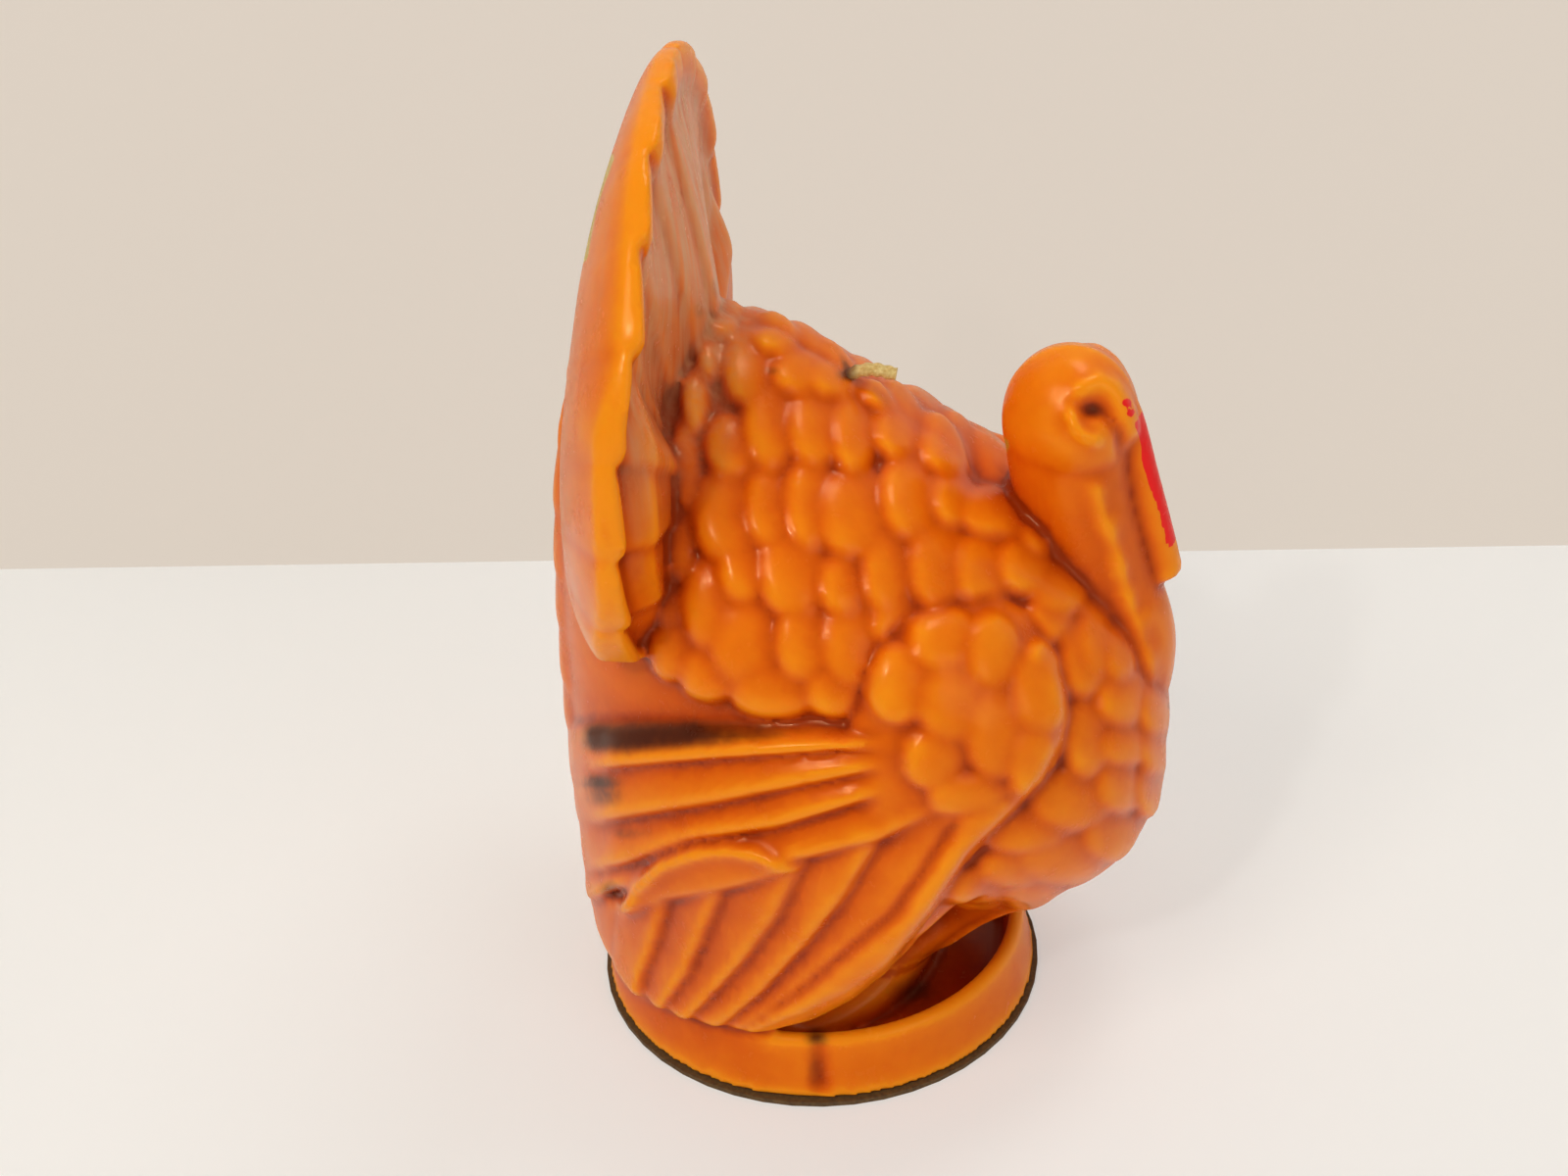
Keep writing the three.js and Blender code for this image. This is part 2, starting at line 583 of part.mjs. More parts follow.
// The poured core, with room for the wick and for the tab's collar.
function waxCore() {
  const bottom = CASTING_BOTTOM + TAB_THICK + GAP;
  const collarTop = CASTING_BOTTOM + TAB_THICK + COLLAR_HEIGHT + GAP;
  return fill(SHELL_WALL + GAP)
    .subtract(solid(disc(PLINTH_RADIUS, -OVERRUN, bottom + OVERRUN, 16)))
    .subtract(solid(disc(PLINTH_RADIUS, CORE_TOP - GAP, OVERRUN, 16)))
    .subtract(wickCylinder(BORE_RADIUS, bottom - OVERRUN, CORE_TOP + OVERRUN))
    .subtract(wickCylinder(COLLAR_RADIUS + GAP, bottom - OVERRUN, collarTop));
}

// A flat braid that rises through the bore and is bent forward over the back.
function wick() {
  const exit = backAbove(WICK_PLACE) + WICK_THICK;
  const path = new THREE.CurvePath();
  const start = new THREE.Vector3(WICK_PLACE, 0, CASTING_BOTTOM);
  const bend = new THREE.Vector3(WICK_PLACE, 0, exit - WICK_BEND);
  const turned = new THREE.Vector3(WICK_PLACE + WICK_BEND, 0, exit);
  path.add(new THREE.LineCurve3(start, bend));
  path.add(new THREE.QuadraticBezierCurve3(bend, new THREE.Vector3(WICK_PLACE, 0, exit), turned));
  path.add(new THREE.LineCurve3(turned, new THREE.Vector3(WICK_PLACE + WICK_STUB, 0, exit - WICK_DROOP)));
  const braid = new THREE.Shape();
  braid.absellipse(0, 0, WICK_WIDTH / 2, WICK_THICK / 2, 0, FULL_TURN);
  return solid(new THREE.ExtrudeGeometry(braid, { steps: 32, extrudePath: path, curveSegments: 4 }));
}

// The stamped tab that holds the wick's foot, with its crimped collar.
function wickTab() {
  const plate = solid(disc(TAB_RADIUS, CASTING_BOTTOM, TAB_THICK, 24).translate(WICK_PLACE, 0, 0));
  const collarTop = CASTING_BOTTOM + TAB_THICK + COLLAR_HEIGHT;
  const collar = wickCylinder(COLLAR_RADIUS, CASTING_BOTTOM, collarTop);
  const hole = wickCylinder(BORE_RADIUS, CASTING_BOTTOM - OVERRUN, collarTop + OVERRUN);
  return plate.add(collar).subtract(hole);
}

// The round card under the foot, a little wider than the wax.
function baseCard() {
  return solid(disc(PLINTH_RADIUS + CARD_OVERHANG, 0, CARD_THICK, 48));
}

const materials = {
  orangeWax: new THREE.MeshStandardMaterial({ color: 0xe07a1a, roughness: 0.38, metalness: 0 }),
  yellowWax: new THREE.MeshStandardMaterial({ color: 0xd9b04a, roughness: 0.5, metalness: 0 }),
  cotton: new THREE.MeshStandardMaterial({ color: 0xd8c68a, roughness: 0.8, metalness: 0 }),
  tin: new THREE.MeshStandardMaterial({ color: 0xb8b8b4, roughness: 0.35, metalness: 0.9 }),
  card: new THREE.MeshStandardMaterial({ color: 0x4a3218, roughness: 0.85, metalness: 0 }),
};

// A solid as a named mesh.
function piece(name, body, material) {
  const { vertProperties, triVerts } = body.getMesh();
  const geometry = new THREE.BufferGeometry()
    .setAttribute("position", new THREE.BufferAttribute(vertProperties, 3))
    .setIndex(new THREE.BufferAttribute(triVerts, 1));
  geometry.computeVertexNormals();
  const mesh = new THREE.Mesh(geometry, material);
  mesh.name = name;
  return mesh;
}

const turkey = new THREE.Group();
turkey.add(piece("wax_shell", waxShell(), materials.orangeWax));
turkey.add(piece("wax_core", waxCore(), materials.yellowWax));
turkey.add(piece("wick", wick(), materials.cotton));
turkey.add(piece("wick_tab", wickTab(), materials.tin));
turkey.add(piece("base_card", baseCard(), materials.card));
export default turkey;
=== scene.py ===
"""Turkey figure: a moulded wax candle. Shapes are worked out in millimetres and stored in metres, in the
shared frame: +X where the bird faces, +Z up, the mould's parting plane at Y = 0."""
import math

import bmesh
import bpy
import numpy as np
from mathutils import Matrix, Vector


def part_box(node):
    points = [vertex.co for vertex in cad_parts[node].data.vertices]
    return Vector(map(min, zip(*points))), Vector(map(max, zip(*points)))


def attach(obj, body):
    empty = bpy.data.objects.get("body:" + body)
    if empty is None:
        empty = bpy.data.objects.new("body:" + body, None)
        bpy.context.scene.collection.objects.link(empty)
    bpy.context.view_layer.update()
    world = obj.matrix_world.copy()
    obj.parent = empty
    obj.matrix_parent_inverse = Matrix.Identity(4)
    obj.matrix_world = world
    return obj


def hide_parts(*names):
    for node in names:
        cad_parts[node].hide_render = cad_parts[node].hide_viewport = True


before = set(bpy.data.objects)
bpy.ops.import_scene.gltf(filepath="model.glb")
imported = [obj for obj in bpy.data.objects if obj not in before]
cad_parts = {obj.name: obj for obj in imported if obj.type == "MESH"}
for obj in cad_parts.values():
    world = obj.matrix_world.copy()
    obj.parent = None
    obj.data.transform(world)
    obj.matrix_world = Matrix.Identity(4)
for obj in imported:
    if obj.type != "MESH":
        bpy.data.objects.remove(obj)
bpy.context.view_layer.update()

# ---------------------------------------------------------------- camera
PHOTO_WIDTH, PHOTO_HEIGHT = 1600, 1200
# Where the photograph was taken from (mm), which way it looked, and its lens.
CAMERA_PLACE = np.array([37.4, -250.2, 223.0])
YAW = math.radians(9.31)
PITCH = math.radians(31.33)
ROLL = math.radians(2.5)
LENS_PX = 2080.0
SENSOR_MM = 36


def camera_axes():
    """The camera's right, down and forward directions."""
    ahead = np.array([-math.sin(YAW) * math.cos(PITCH), math.cos(YAW) * math.cos(PITCH), -math.sin(PITCH)])
    right = np.array([math.cos(YAW), math.sin(YAW), 0.0])
    down = np.cross(ahead, right)
    turn = np.array([[math.cos(ROLL), math.sin(ROLL)], [-math.sin(ROLL), math.cos(ROLL)]])
    right, down = turn @ np.stack([right, down])
    return np.stack([right, down, ahead])


AXES = camera_axes()


def in_photo(points):
    """Pixel column and row at which points show in the photograph."""
    seen = (points - CAMERA_PLACE) @ AXES.T
    u = PHOTO_WIDTH / 2 + LENS_PX * seen[:, 0] / seen[:, 2]
    v = PHOTO_HEIGHT / 2 + LENS_PX * seen[:, 1] / seen[:, 2]
    return u, v


def in_photo_folded(points):
    """The same, with the far half of the figure folded over onto the near half."""
    return in_photo(points * [1, 0, 1] - np.abs(points) * [0, 1, 0])


# ---------------------------------------------------------------- sizes (mm), most of them the solids' own
FOOT_BOTTOM = 1.1
PLINTH_RADIUS = 34.4
PLINTH_FLARE = 2.0
PLINTH_HEIGHT = 11.0
PLINTH_RIM = 2.4
PLINTH_ROUNDING = 1.2
PLINTH_WALL = 9.2
TRAY_DEPTH = 6.8
TRAY_BACK = 8.0
# Where the mould's vertical mark stands in the foot's wall, and its depth and half width.
MARK_FOOT = (4.0, -33.6)
MARK_DEPTH = 1.1
MARK_HALF_WIDTH = 1.5
BODY_HEIGHT = 111.0
BREAST_REACH = 54.0
BACK_REACH = 38.7
BODY_HALF_WIDTH = 37.0
FAN_RADIUS = 43.0
FAN_TOP = BODY_HEIGHT + 35.6
FAN_MIDDLE = FAN_TOP - FAN_RADIUS
FAN_FRONT = 15.0
FAN_SWEEP = 2.8
FAN_RIM = 2.6
FAN_DEPTH = 12.6
FAN_DROP = 18.0
FAN_CROWN = 8.4
FAN_FEATHERS = 15
FAN_END = math.radians(134)
FAN_TUCK = 0.35
FAN_NOTCH = 0.35
# The fan stands a little skew, by this share. Its near side does so only above these heights.
FAN_SKEW = 0.045
FAN_SKEW_HEIGHTS = (112, 124)
# Relief of its feathers at the rim and on the face, the face's dish, and the rise of its sides.
FAN_TIP_RELIEF = 1.7
FAN_FACE_RELIEF = 0.9
FAN_DISH = 1.3
FAN_SIDE_RISE = 4.2
HEAD = np.array([36.5, 0.0, 97.6])
HEAD_HALF = np.array([9.1, 9.0, 10.5])

# Body sections from foot to back ridge: height, front, back and half width, as shares of its sizes,
# and the share by which the sides draw in under the breast, in front of the wings.
SECTIONS = np.array([
    [0, 0.35, 0.86, 0.74, 0], [0.064, 0.37, 0.905, 0.78, 0.1], [0.1, 0.41, 0.92, 0.83, 0.5],
    [0.155, 0.53, 0.93, 0.87, 0.85], [0.227, 0.75, 0.94, 0.915, 0.6], [0.314, 0.93, 0.95, 0.965, 0.25],
    [0.42, 0.965, 0.95, 1, 0], [0.53, 0.94, 0.945, 0.99, 0], [0.63, 0.84, 0.935, 0.955, 0],
    [0.715, 0.68, 0.92, 0.885, 0], [0.79, 0.49, 0.9, 0.77, 0], [0.86, 0.28, 0.87, 0.61, 0],
    [0.92, 0.12, 0.83, 0.43, 0], [0.97, -0.01, 0.79, 0.26, 0], [1, -0.12, 0.75, 0.12, 0],
]) * [BODY_HEIGHT, BREAST_REACH, BACK_REACH, BODY_HALF_WIDTH, 1]
# The wing's leading edge over the recess: height and how far forward.
WING_FRONT = [
    (11, -5.0), (13.8, -2.6), (16.5, 3.9), (21.4, 9.7), (29, 15.3), (38.6, 20.1), (45.2, 23.2), (51, 27),
]
# The sides draw in over this length in front of that edge.
TUCK_REACH = 7.0
# The wing's relief dies out between these lengths in front of it, except at the shoulder, higher up.
WING_LIMIT = (3.0, 1.0)
SHOULDER_HEIGHTS = (44, 54)
# The nape, where the back dips before the neck: how far forward, half length, heights and depth.
NAPE_X = 27
NAPE_REACH = 5
NAPE_HEIGHTS = (84, 96)
NAPE_DEPTH = 2.6
# How far the body's open top is rounded up to close it.
CROWN_RISE = 2.2
# Vertices round the body and from its foot to its top, the shares of them that close its foot and its
# top, and how far its skin lies under the relief.
TRUNK_NET = (620, 400)
FOOT_SHARE = 0.05
TOP_SHARE = 0.08
SKIN_INSET = 0.5
# The share of a bar, and of the braid, that closes each of its ends.
BAR_END = 0.08
BRAID_END = 0.01
# Middle lines in the mid-plane, how far forward and how high, with half widths and half depths.
NECK_LINE = [(36.0, 98.5), (37.3, 87.7), (40.2, 74.9), (42.5, 62.5), (43, 50)]
NECK_HALF_WIDTHS = [8.8, 8.4, 8.9, 10.4, 10]
NECK_HALF_DEPTHS = [8.7, 8.3, 8.8, 10.4, 8.8]
SNOOD_LINE = [(40.1, 104.9), (43.4, 98.8), (46.3, 88.8), (48.9, 79.4), (50.3, 74.1)]
SNOOD_HALF_WIDTHS = [2.2, 2.9, 3.0, 3.1, 3.1]
SNOOD_HALF_DEPTHS = [2.1, 2.7, 2.8, 2.9, 2.9]
# The braid's half thickness and half width, how far its middle lies inside the solid's box, and the
# pitch and depth of its plaits.
BRAID_HALF_THICK = 0.74
BRAID_HALF_WIDE = 1.2
BRAID_INSET = 0.85
PLAIT_PITCH = 1.5
PLAIT_DEPTH = 0.09

# Heights of the relief over the body's skin. A pair is the least height and the rise above it.
QUILL_RISE = (1.6, 2.6)
PRIMARY_RISE = (1.2, 2.2)
LEADING_RISE = (1.6, 3.0)
SHOULDER_RISE = (0.3, 3.4)
FLAP_RISE = (4.0, 2.6)
COVERT_HEIGHT = 2.4
ARM_HEIGHT = 4.2
POCKET_DEPTH = 3
BROW_HEIGHT = 0.9
EYELID_HEIGHT = 1.3
EYE_DEPTH = 2.0
EYE_GROOVE_DEPTH = 1.0
CHEEK_HEIGHT = 0.9
WATTLE_HEIGHT = 0.45
NECK_RIDGE_HEIGHT = 0.7
BODY_SCALE_HEIGHT = 2.9
BREAST_SCALE_HEIGHT = 2.5
HIDDEN_SCALE_HEIGHT = 1.5
# Rows of scales where the photograph shows none, and half the body's girth. The half width is a share
# of the pitch.
HIDDEN_ROW_PITCH = 9.0
HIDDEN_SCALE_PITCH = 10.0
HIDDEN_HALF_WIDTH = 0.62
HIDDEN_HALF_HEIGHT = 7.0
HIDDEN_LEAN = (0, 0.9)
HALF_GIRTH = 62.0

# Rounds of evening out after which the casting's finer and broader recesses show; their depth sets the
# painted shade.
FINE_ROUNDS = 8
BROAD_ROUNDS = 60
# Where the painted shade in the tray and on the stem under the breast fades: its heights over the tray, and
# how far forward it begins.
TRAY_SHADE_HEIGHTS = (28, 18)
TRAY_SHADE_START = (-9, -6)
# The red front of the snood: its half width, middle height and half height, and paint's least height.
SNOOD_PAINT = (2.4, 89, 10)
PAINT_FOOT = 70
# The fan's face, where a pale sheen is painted: how far inside the rim, how far forward, and the heights it
# fades in over.
FACE_INSET = (2.5, 6)
FACE_BACK = (-20, -18)
FACE_FRONT = (-4, -10)
FACE_HEIGHTS = (92, 122)

# ---------------------------------------------------------------- relief, read off the photograph (pixels)
# Growth of each scale under the next, and which way the free edges point, to the right and down.
OVERLAP = 1.22
BODY_LEAN = (-0.75, 0.6)
BREAST_LEAN = (-0.35, 0.9)
COVERT_LEAN = (-0.5, 0.3)
# Soft overlapping scales of back and flank: middle, half width and half height.
BODY_SCALES = [
    (760, 377, 23, 33), (815, 380, 28, 20), (783, 433, 25, 43), (743, 457, 24, 28), (830, 437, 27, 35),
    (870, 443, 20, 36), (915, 437, 22, 27), (967, 452, 27, 28), (737, 530, 31, 43), (781, 520, 22, 38),
    (823, 517, 23, 43), (867, 527, 33, 40), (927, 507, 27, 40), (973, 507, 20, 27), (1017, 520, 35, 25),
    (720, 622, 25, 43), (753, 583, 22, 32), (805, 587, 32, 42), (857, 600, 22, 28), (903, 587, 23, 42),
    (957, 580, 30, 42), (1000, 583, 25, 35), (1047, 577, 27, 28), (753, 660, 33, 42), (817, 660, 27, 38),
    (870, 663, 33, 42), (783, 707, 39, 26), (1065, 540, 22, 24), (718, 690, 26, 26),
    (850, 708, 30, 24), (913, 640, 24, 30), (790, 345, 20, 12), (850, 385, 24, 18), (905, 395, 24, 20),
]
# Narrow scales along the root of the tail fan.
FAN_ROOT_SCALES = [
    (735, 318, 13, 24), (722, 355, 12, 28), (707, 408, 12, 30), (697, 480, 13, 40), (690, 555, 14, 38),
    (676, 612, 16, 30), (680, 665, 20, 30),
]
# Scales of the wing's shoulder.
COVERTS = [
    (960, 655, 29, 30), (1012, 668, 24, 34), (914, 700, 28, 35), (971, 720, 33, 36), (1016, 750, 29, 42),
    (1060, 708, 25, 38), (983, 814, 33, 20), (1002, 842, 34, 20), (950, 778, 26, 26), (1052, 780, 22, 34),
]
# Scales of the breast.
BREAST_SCALES = [
    (1147, 713, 23, 30), (1183, 727, 16, 26), (1110, 760, 20, 37), (1147, 763, 25, 20), (1183, 770, 16, 24),
    (1143, 807, 20, 25), (1177, 813, 15, 25), (1093, 823, 37, 28), (1043, 853, 40, 22), (1137, 860, 28, 24),
    (1080, 883, 40, 25), (1033, 893, 30, 20), (997, 913, 28, 18), (1083, 600, 26, 28), (1120, 660, 16, 40),
    (1050, 917, 28, 16), (1145, 670, 16, 28), (1107, 677, 22, 36), (1072, 630, 20, 26),
]
# The wing's outline, from the root of the top groove round by shoulder, leading edge and foot.
WING_OUTLINE = [
    (530, 740), (660, 741), (760, 743), (860, 743), (878, 700), (892, 660), (925, 628), (975, 612),
    (1022, 606), (1052, 622), (1076, 655), (1090, 697), (1095, 731), (1088, 762), (1067, 800), (1035, 832),
    (990, 877), (953, 933), (927, 967), (907, 993), (870, 1027), (827, 1050), (767, 1063), (703, 1062),
    (655, 1062), (590, 1062), (560, 1000), (540, 900), (530, 800),
]
# Quill grooves from the top down, each from the tail to the shoulder; the last is the fourth quill's foot.
QUILL_GROOVES = [
    [(560, 742), (592, 742), (730, 743), (867, 745), (930, 748)],
    [(560, 790), (600, 788), (720, 777), (880, 765), (930, 762)],
    [(560, 846), (607, 842), (727, 823), (907, 785), (940, 778)],
    [(560, 894), (610, 890), (643, 883), (703, 860), (793, 847), (907, 812), (950, 800)],
    [(560, 930), (640, 907), (710, 884), (793, 886), (893, 863), (950, 834)],
]
# Primary feathers: grooves from their roots down to the foot, from the tail side forward.
PRIMARY_GROOVES = [
    [(640, 850), (628, 925), (620, 990), (618, 1075)],
    [(695, 870), (673, 953), (657, 993), (640, 1075)],
    [(757, 870), (735, 917), (703, 993), (663, 1047), (640, 1085)],
    [(835, 860), (815, 895), (793, 940), (760, 983), (693, 1053), (665, 1085)],
    [(903, 845), (897, 863), (867, 913), (827, 963), (777, 1017), (727, 1058), (700, 1085)],
    [(985, 825), (973, 843), (940, 895), (913, 933), (870, 967), (823, 1007), (760, 1053), (730, 1085)],
]
# The leaf-shaped flap over the primaries' roots, with its lip's half width, its edge's reach and the
# hollow at its tail end.
FLAP_OUTLINE = [
    (626, 934), (638, 907), (670, 877), (710, 863), (743, 861), (773, 867), (793, 878), (818, 890),
    (793, 899), (760, 908), (720, 917), (677, 923), (645, 937),
]
FLAP_RIM = FLAP_OUTLINE[:8]
FLAP_LIP = 12
FLAP_EDGE = 8
FLAP_POCKET = (628, 913)
POCKET_HALF = (11, 6)
# Where the shoulder's scales run on from the body's, over how long they rise and where they blend.
SHOULDER_TOP = WING_OUTLINE[3:11]
SHOULDER_SPAN = 110
SHOULDER_BLEND = (40, 8)
# Columns and rows between which quills give way to the shoulder.
SHOULDER_COLUMNS = (868, 905)
SHOULDER_ROWS = (862, 812)
# Columns between which the wing sinks towards the tail, and in which the quills end.
TAIL_COLUMNS = (574, 628)
QUILL_END_COLUMNS = (612, 590)
# The reach of the wing's rounded edge, which grows by the second value over these rows.
WING_EDGE = (12, 14)
WING_FOOT_ROWS = (980, 1040)
# The smooth arm along the wing's front: its line, its edge's reach and where it fades.
ARM_LINE = [(1068, 672), (1086, 715), (1084, 752), (1062, 792), (1035, 818)]
ARM_EDGE = 26
ARM_REACH = (30, 16)
# Head and neck: middles and lines, each with its half width, or half width and half height.
CHEEK = (1100, 452)
CHEEK_HALF = (34, 26)
EYE_DENT = (1115, 418)
EYE_HALF = (14, 10)
EYE_GROOVE = [(1128, 424), (1141, 442), (1146, 468), (1150, 500)]
EYE_GROOVE_HALF = 5
EYE_CRESCENT = [(1093, 424), (1098, 439), (1108, 447), (1118, 449)]
EYE_CRESCENT_HALF = 6
SNOOD_ROOT = [(1104, 396), (1120, 387), (1136, 394), (1148, 414), (1160, 440)]
SNOOD_ROOT_HALF = 9
WATTLE_LUMPS = [(1133, 537), (1140, 577), (1150, 610), (1167, 632), (1172, 672)]
WATTLE_HALF = (11, 13)
NECK_RIDGE = [(1118, 500), (1124, 530), (1136, 558), (1147, 604), (1161, 650), (1172, 690)]
NECK_RIDGE_HALF = 8
# Red paint: a stripe, and dabs with their reach.
RED_STRIPE = [(1163, 433), (1168, 447), (1170, 470), (1177, 494), (1187, 519), (1195, 546)]
RED_STRIPE_HALF = 5.5
RED_DABS = [(1150, 411, 6), (1154, 421, 5)]
# Pools of brown glaze: middle, half width, half height and strength.
GLAZE_POOLS = [
    (612, 799, 24, 10, 0.9), (616, 812, 22, 14, 0.75), (624, 908, 14, 12, 0.6), (833, 1058, 15, 11, 0.85),
    (831, 1090, 12, 36, 0.5), (733, 292, 9, 14, 0.6), (716, 318, 12, 10, 0.5), (870, 382, 16, 7, 1.0),
    (973, 843, 10, 7, 0.4), (1197, 720, 6, 5, 0.9), (1195, 753, 6, 5, 0.9), (787, 378, 10, 6, 0.5),
    (937, 1013, 34, 18, 0.7), (640, 850, 30, 8, 0.5), (1115, 419, 13, 9, 0.7),
]
# The long pool of glaze in the top groove: its line, half width and strength from the tail on.
GLAZE_STREAK = [(590, 752), (640, 752), (700, 749), (760, 746), (860, 743)]
STREAK_HALF_WIDTH = ((590, 640, 740, 860), (15, 19, 14, 7))
STREAK_STRENGTH = ((590, 604, 720, 790, 860), (0.3, 1.0, 0.85, 0.6, 0.2))
# Paler wax: in the notch behind the head, and in a thin line down the back of the fan.
PALE_NOTCH = (1020, 454)
PALE_NOTCH_HALF = (11, 10)
PALE_SEAM = [(624, 160), (613, 188), (605, 215), (599, 245), (596, 264)]
PALE_SEAM_HALF = 4


# ---------------------------------------------------------------- small measuring helpers
def smooth_curve(stations, values, at):
    """Values at places between stations, along a smooth curve through all of them."""
    stations = np.asarray(stations, float)
    values = np.asarray(values, float)
    slope = np.gradient(values, stations)
    at = np.clip(at, stations[0], stations[-1])
    k = np.clip(np.searchsorted(stations, at) - 1, 0, len(stations) - 2)
    width = stations[k + 1] - stations[k]
    s = (at - stations[k]) / width
    return (
        values[k] * (1 + 2 * s) * (1 - s) ** 2 + slope[k] * width * s * (1 - s) ** 2
        + values[k + 1] * s * s * (3 - 2 * s) + slope[k + 1] * width * s * s * (s - 1)
    )


def step(value, low, high):
    """A smooth step from 0 at low to 1 at high."""
    s = np.clip((value - low) / (high - low), 0, 1)
    return s * s * (3 - 2 * s)


def line_distance(u, v, points):
    """Distance from each place to a bent line, in pixels."""
    near = np.full(u.shape, 1e9)
    for (u0, v0), (u1, v1) in zip(points, points[1:]):
        du, dv = u1 - u0, v1 - v0
        share = np.clip(((u - u0) * du + (v - v0) * dv) / (du * du + dv * dv), 0, 1)
        near = np.minimum(near, np.hypot(u - u0 - share * du, v - v0 - share * dv))
    return near


def depth_inside(u, v, outline):
    """Distance from each place to a closed outline: positive inside it, negative outside."""
    inside = np.zeros(u.shape, bool)
    closed = outline + outline[:1]
    for (u0, v0), (u1, v1) in zip(closed, closed[1:]):
        if v0 != v1:
            inside ^= ((v0 > v) != (v1 > v)) & (u < u0 + (u1 - u0) * (v - v0) / (v1 - v0))
    return np.where(inside, 1, -1) * line_distance(u, v, closed)


def rounded(depth, reach):
    """A rounded shoulder: 0 at an edge and 1 at reach inside it."""
    s = np.clip(depth / reach, 0, 1)
    return np.sqrt(np.maximum(1 - (1 - s) ** 2, 0))


def blob(u, v, at, half_width, half_height):
    """A soft round bump: 1 in its middle."""
    return np.exp(-(((u - at[0]) / half_width) ** 2) - ((v - at[1]) / half_height) ** 2)


def ridge(u, v, line, half_width):
    """A soft ridge along a bent line: 1 on the line."""
    return np.exp(-((line_distance(u, v, line) / half_width) ** 2))


# ---------------------------------------------------------------- relief of the body
def scale_height(s, t, lean):
    """A scale at offsets -1..1 from its middle: highest towards its free edge, and low at its root."""
    reach = np.clip(1 - (np.abs(s) ** 2.2 + np.abs(t) ** 2.2) ** 1.4, 0, 1)
    towards = np.clip(0.5 + 0.5 * (s * lean[0] + t * lean[1]), 0, 1)
    return reach ** 0.34 * (0.34 + 0.66 * towards)


def scales_at(u, v, table, lean):
    """Scales of a table, each grown a little towards its root so that it runs under the next."""
    height = np.zeros(u.shape)
    for cu, cv, half_width, half_height in table:
        s = (u - cu + lean[0] * half_width * (OVERLAP - 1)) / (half_width * OVERLAP)
        t = (v - cv + lean[1] * half_height * (OVERLAP - 1)) / (half_height * OVERLAP)
        near = (np.abs(s) < 1) & (np.abs(t) < 1)
        height[near] = np.maximum(height[near], scale_height(s[near], t[near], lean))
    return height


def blade(q, slope=0.7):
    """A feather's section from its groove (0) up a long slope to a rounded edge and down (1)."""
    rise = 0.06 + 0.94 * np.clip(q / 0.84, 0, 1) ** slope
    drop = np.sqrt(np.clip(1 - ((q - 0.8) / 0.2).clip(0, 1) ** 2.2, 0, 1))
    return rise * drop


def risen(pair, share):
    """A height between the least one and the highest."""
    return pair[0] + pair[1] * share


def quill_height(u, v):
    """Four quills in steps: each rises from its groove to a ridge low down, then drops to the next."""
    lines = [np.interp(u, *zip(*groove)) for groove in QUILL_GROOVES]
    height = np.zeros(u.shape)
    end = step(u, *QUILL_END_COLUMNS)
    for k, (top, bottom) in enumerate(zip(lines, lines[1:])):
        q = np.clip((v - top) / np.maximum(bottom - top, 4), 0, 1)
        across = (1 - end) * blade(q, 0.8 if k else 2.0) + end * (0.55 + 0.3 * np.sin(math.pi * q))
        height = np.where((v >= top) & (v < bottom), across, height)
    return height


def primary_height(u, v):
    """Primaries in steps: each rises from its groove to its forward edge, then drops to the next."""
    lines = [np.interp(v, *zip(*[(row, column) for column, row in groove])) for groove in PRIMARY_GROOVES]
    height = np.zeros(u.shape)
    for back, front in zip(lines, lines[1:]):
        q = np.clip((u - back) / np.maximum(front - back, 4), 0, 1)
        height = np.where((u >= back) & (u < front), blade(q), height)
    return height, lines[-1]


def wing_height(u, v):
    """The wing over the body's skin, and how deep inside its outline each place lies."""
    inside = depth_inside(u, v, WING_OUTLINE)
    primary, rim_line = primary_height(u, v)
    foot = np.interp(u, *zip(*QUILL_GROOVES[4]))
    top = np.interp(u, *zip(*QUILL_GROOVES[0]))
    height = np.where(v < foot, risen(QUILL_RISE, quill_height(u, v)), risen(PRIMARY_RISE, primary))
    forward = np.clip(u - rim_line, 0, None)
    band = forward / np.maximum(forward + np.maximum(inside, 0), 1)
    height = np.where((u > rim_line) & (v > foot), risen(LEADING_RISE, rounded(band, 0.6)), height)
    from_top = line_distance(u, v, SHOULDER_TOP)
    span = np.clip(from_top / SHOULDER_SPAN, 0, 1)
    coverts = risen(SHOULDER_RISE, np.sqrt(span * (2 - span)))
    coverts = coverts + COVERT_HEIGHT * scales_at(u, v, COVERTS, COVERT_LEAN)
    arm = rounded(np.maximum(inside, 0), ARM_EDGE) * step(line_distance(u, v, ARM_LINE), *ARM_REACH)
    coverts = np.maximum(coverts, ARM_HEIGHT * arm)
    shoulder = step(u, *SHOULDER_COLUMNS) * step(v, *SHOULDER_ROWS)
    height = height * (1 - shoulder) + coverts * shoulder
    height = np.where(v < top, coverts, height)
    flap = depth_inside(u, v, FLAP_OUTLINE)
    lip = risen(FLAP_RISE, ridge(u, v, FLAP_RIM, FLAP_LIP)) * rounded(flap, FLAP_EDGE)
    height = np.where(flap > 0, np.maximum(height, lip), height)
    height = height - POCKET_DEPTH * blob(u, v, FLAP_POCKET, *POCKET_HALF)
    height = height * (0.3 + 0.7 * step(u, *TAIL_COLUMNS))
    edge = rounded(inside, risen(WING_EDGE, step(v, *WING_FOOT_ROWS)))
    blend = shoulder * step(from_top, *SHOULDER_BLEND)
    return height * (edge + (1 - edge) * blend), inside


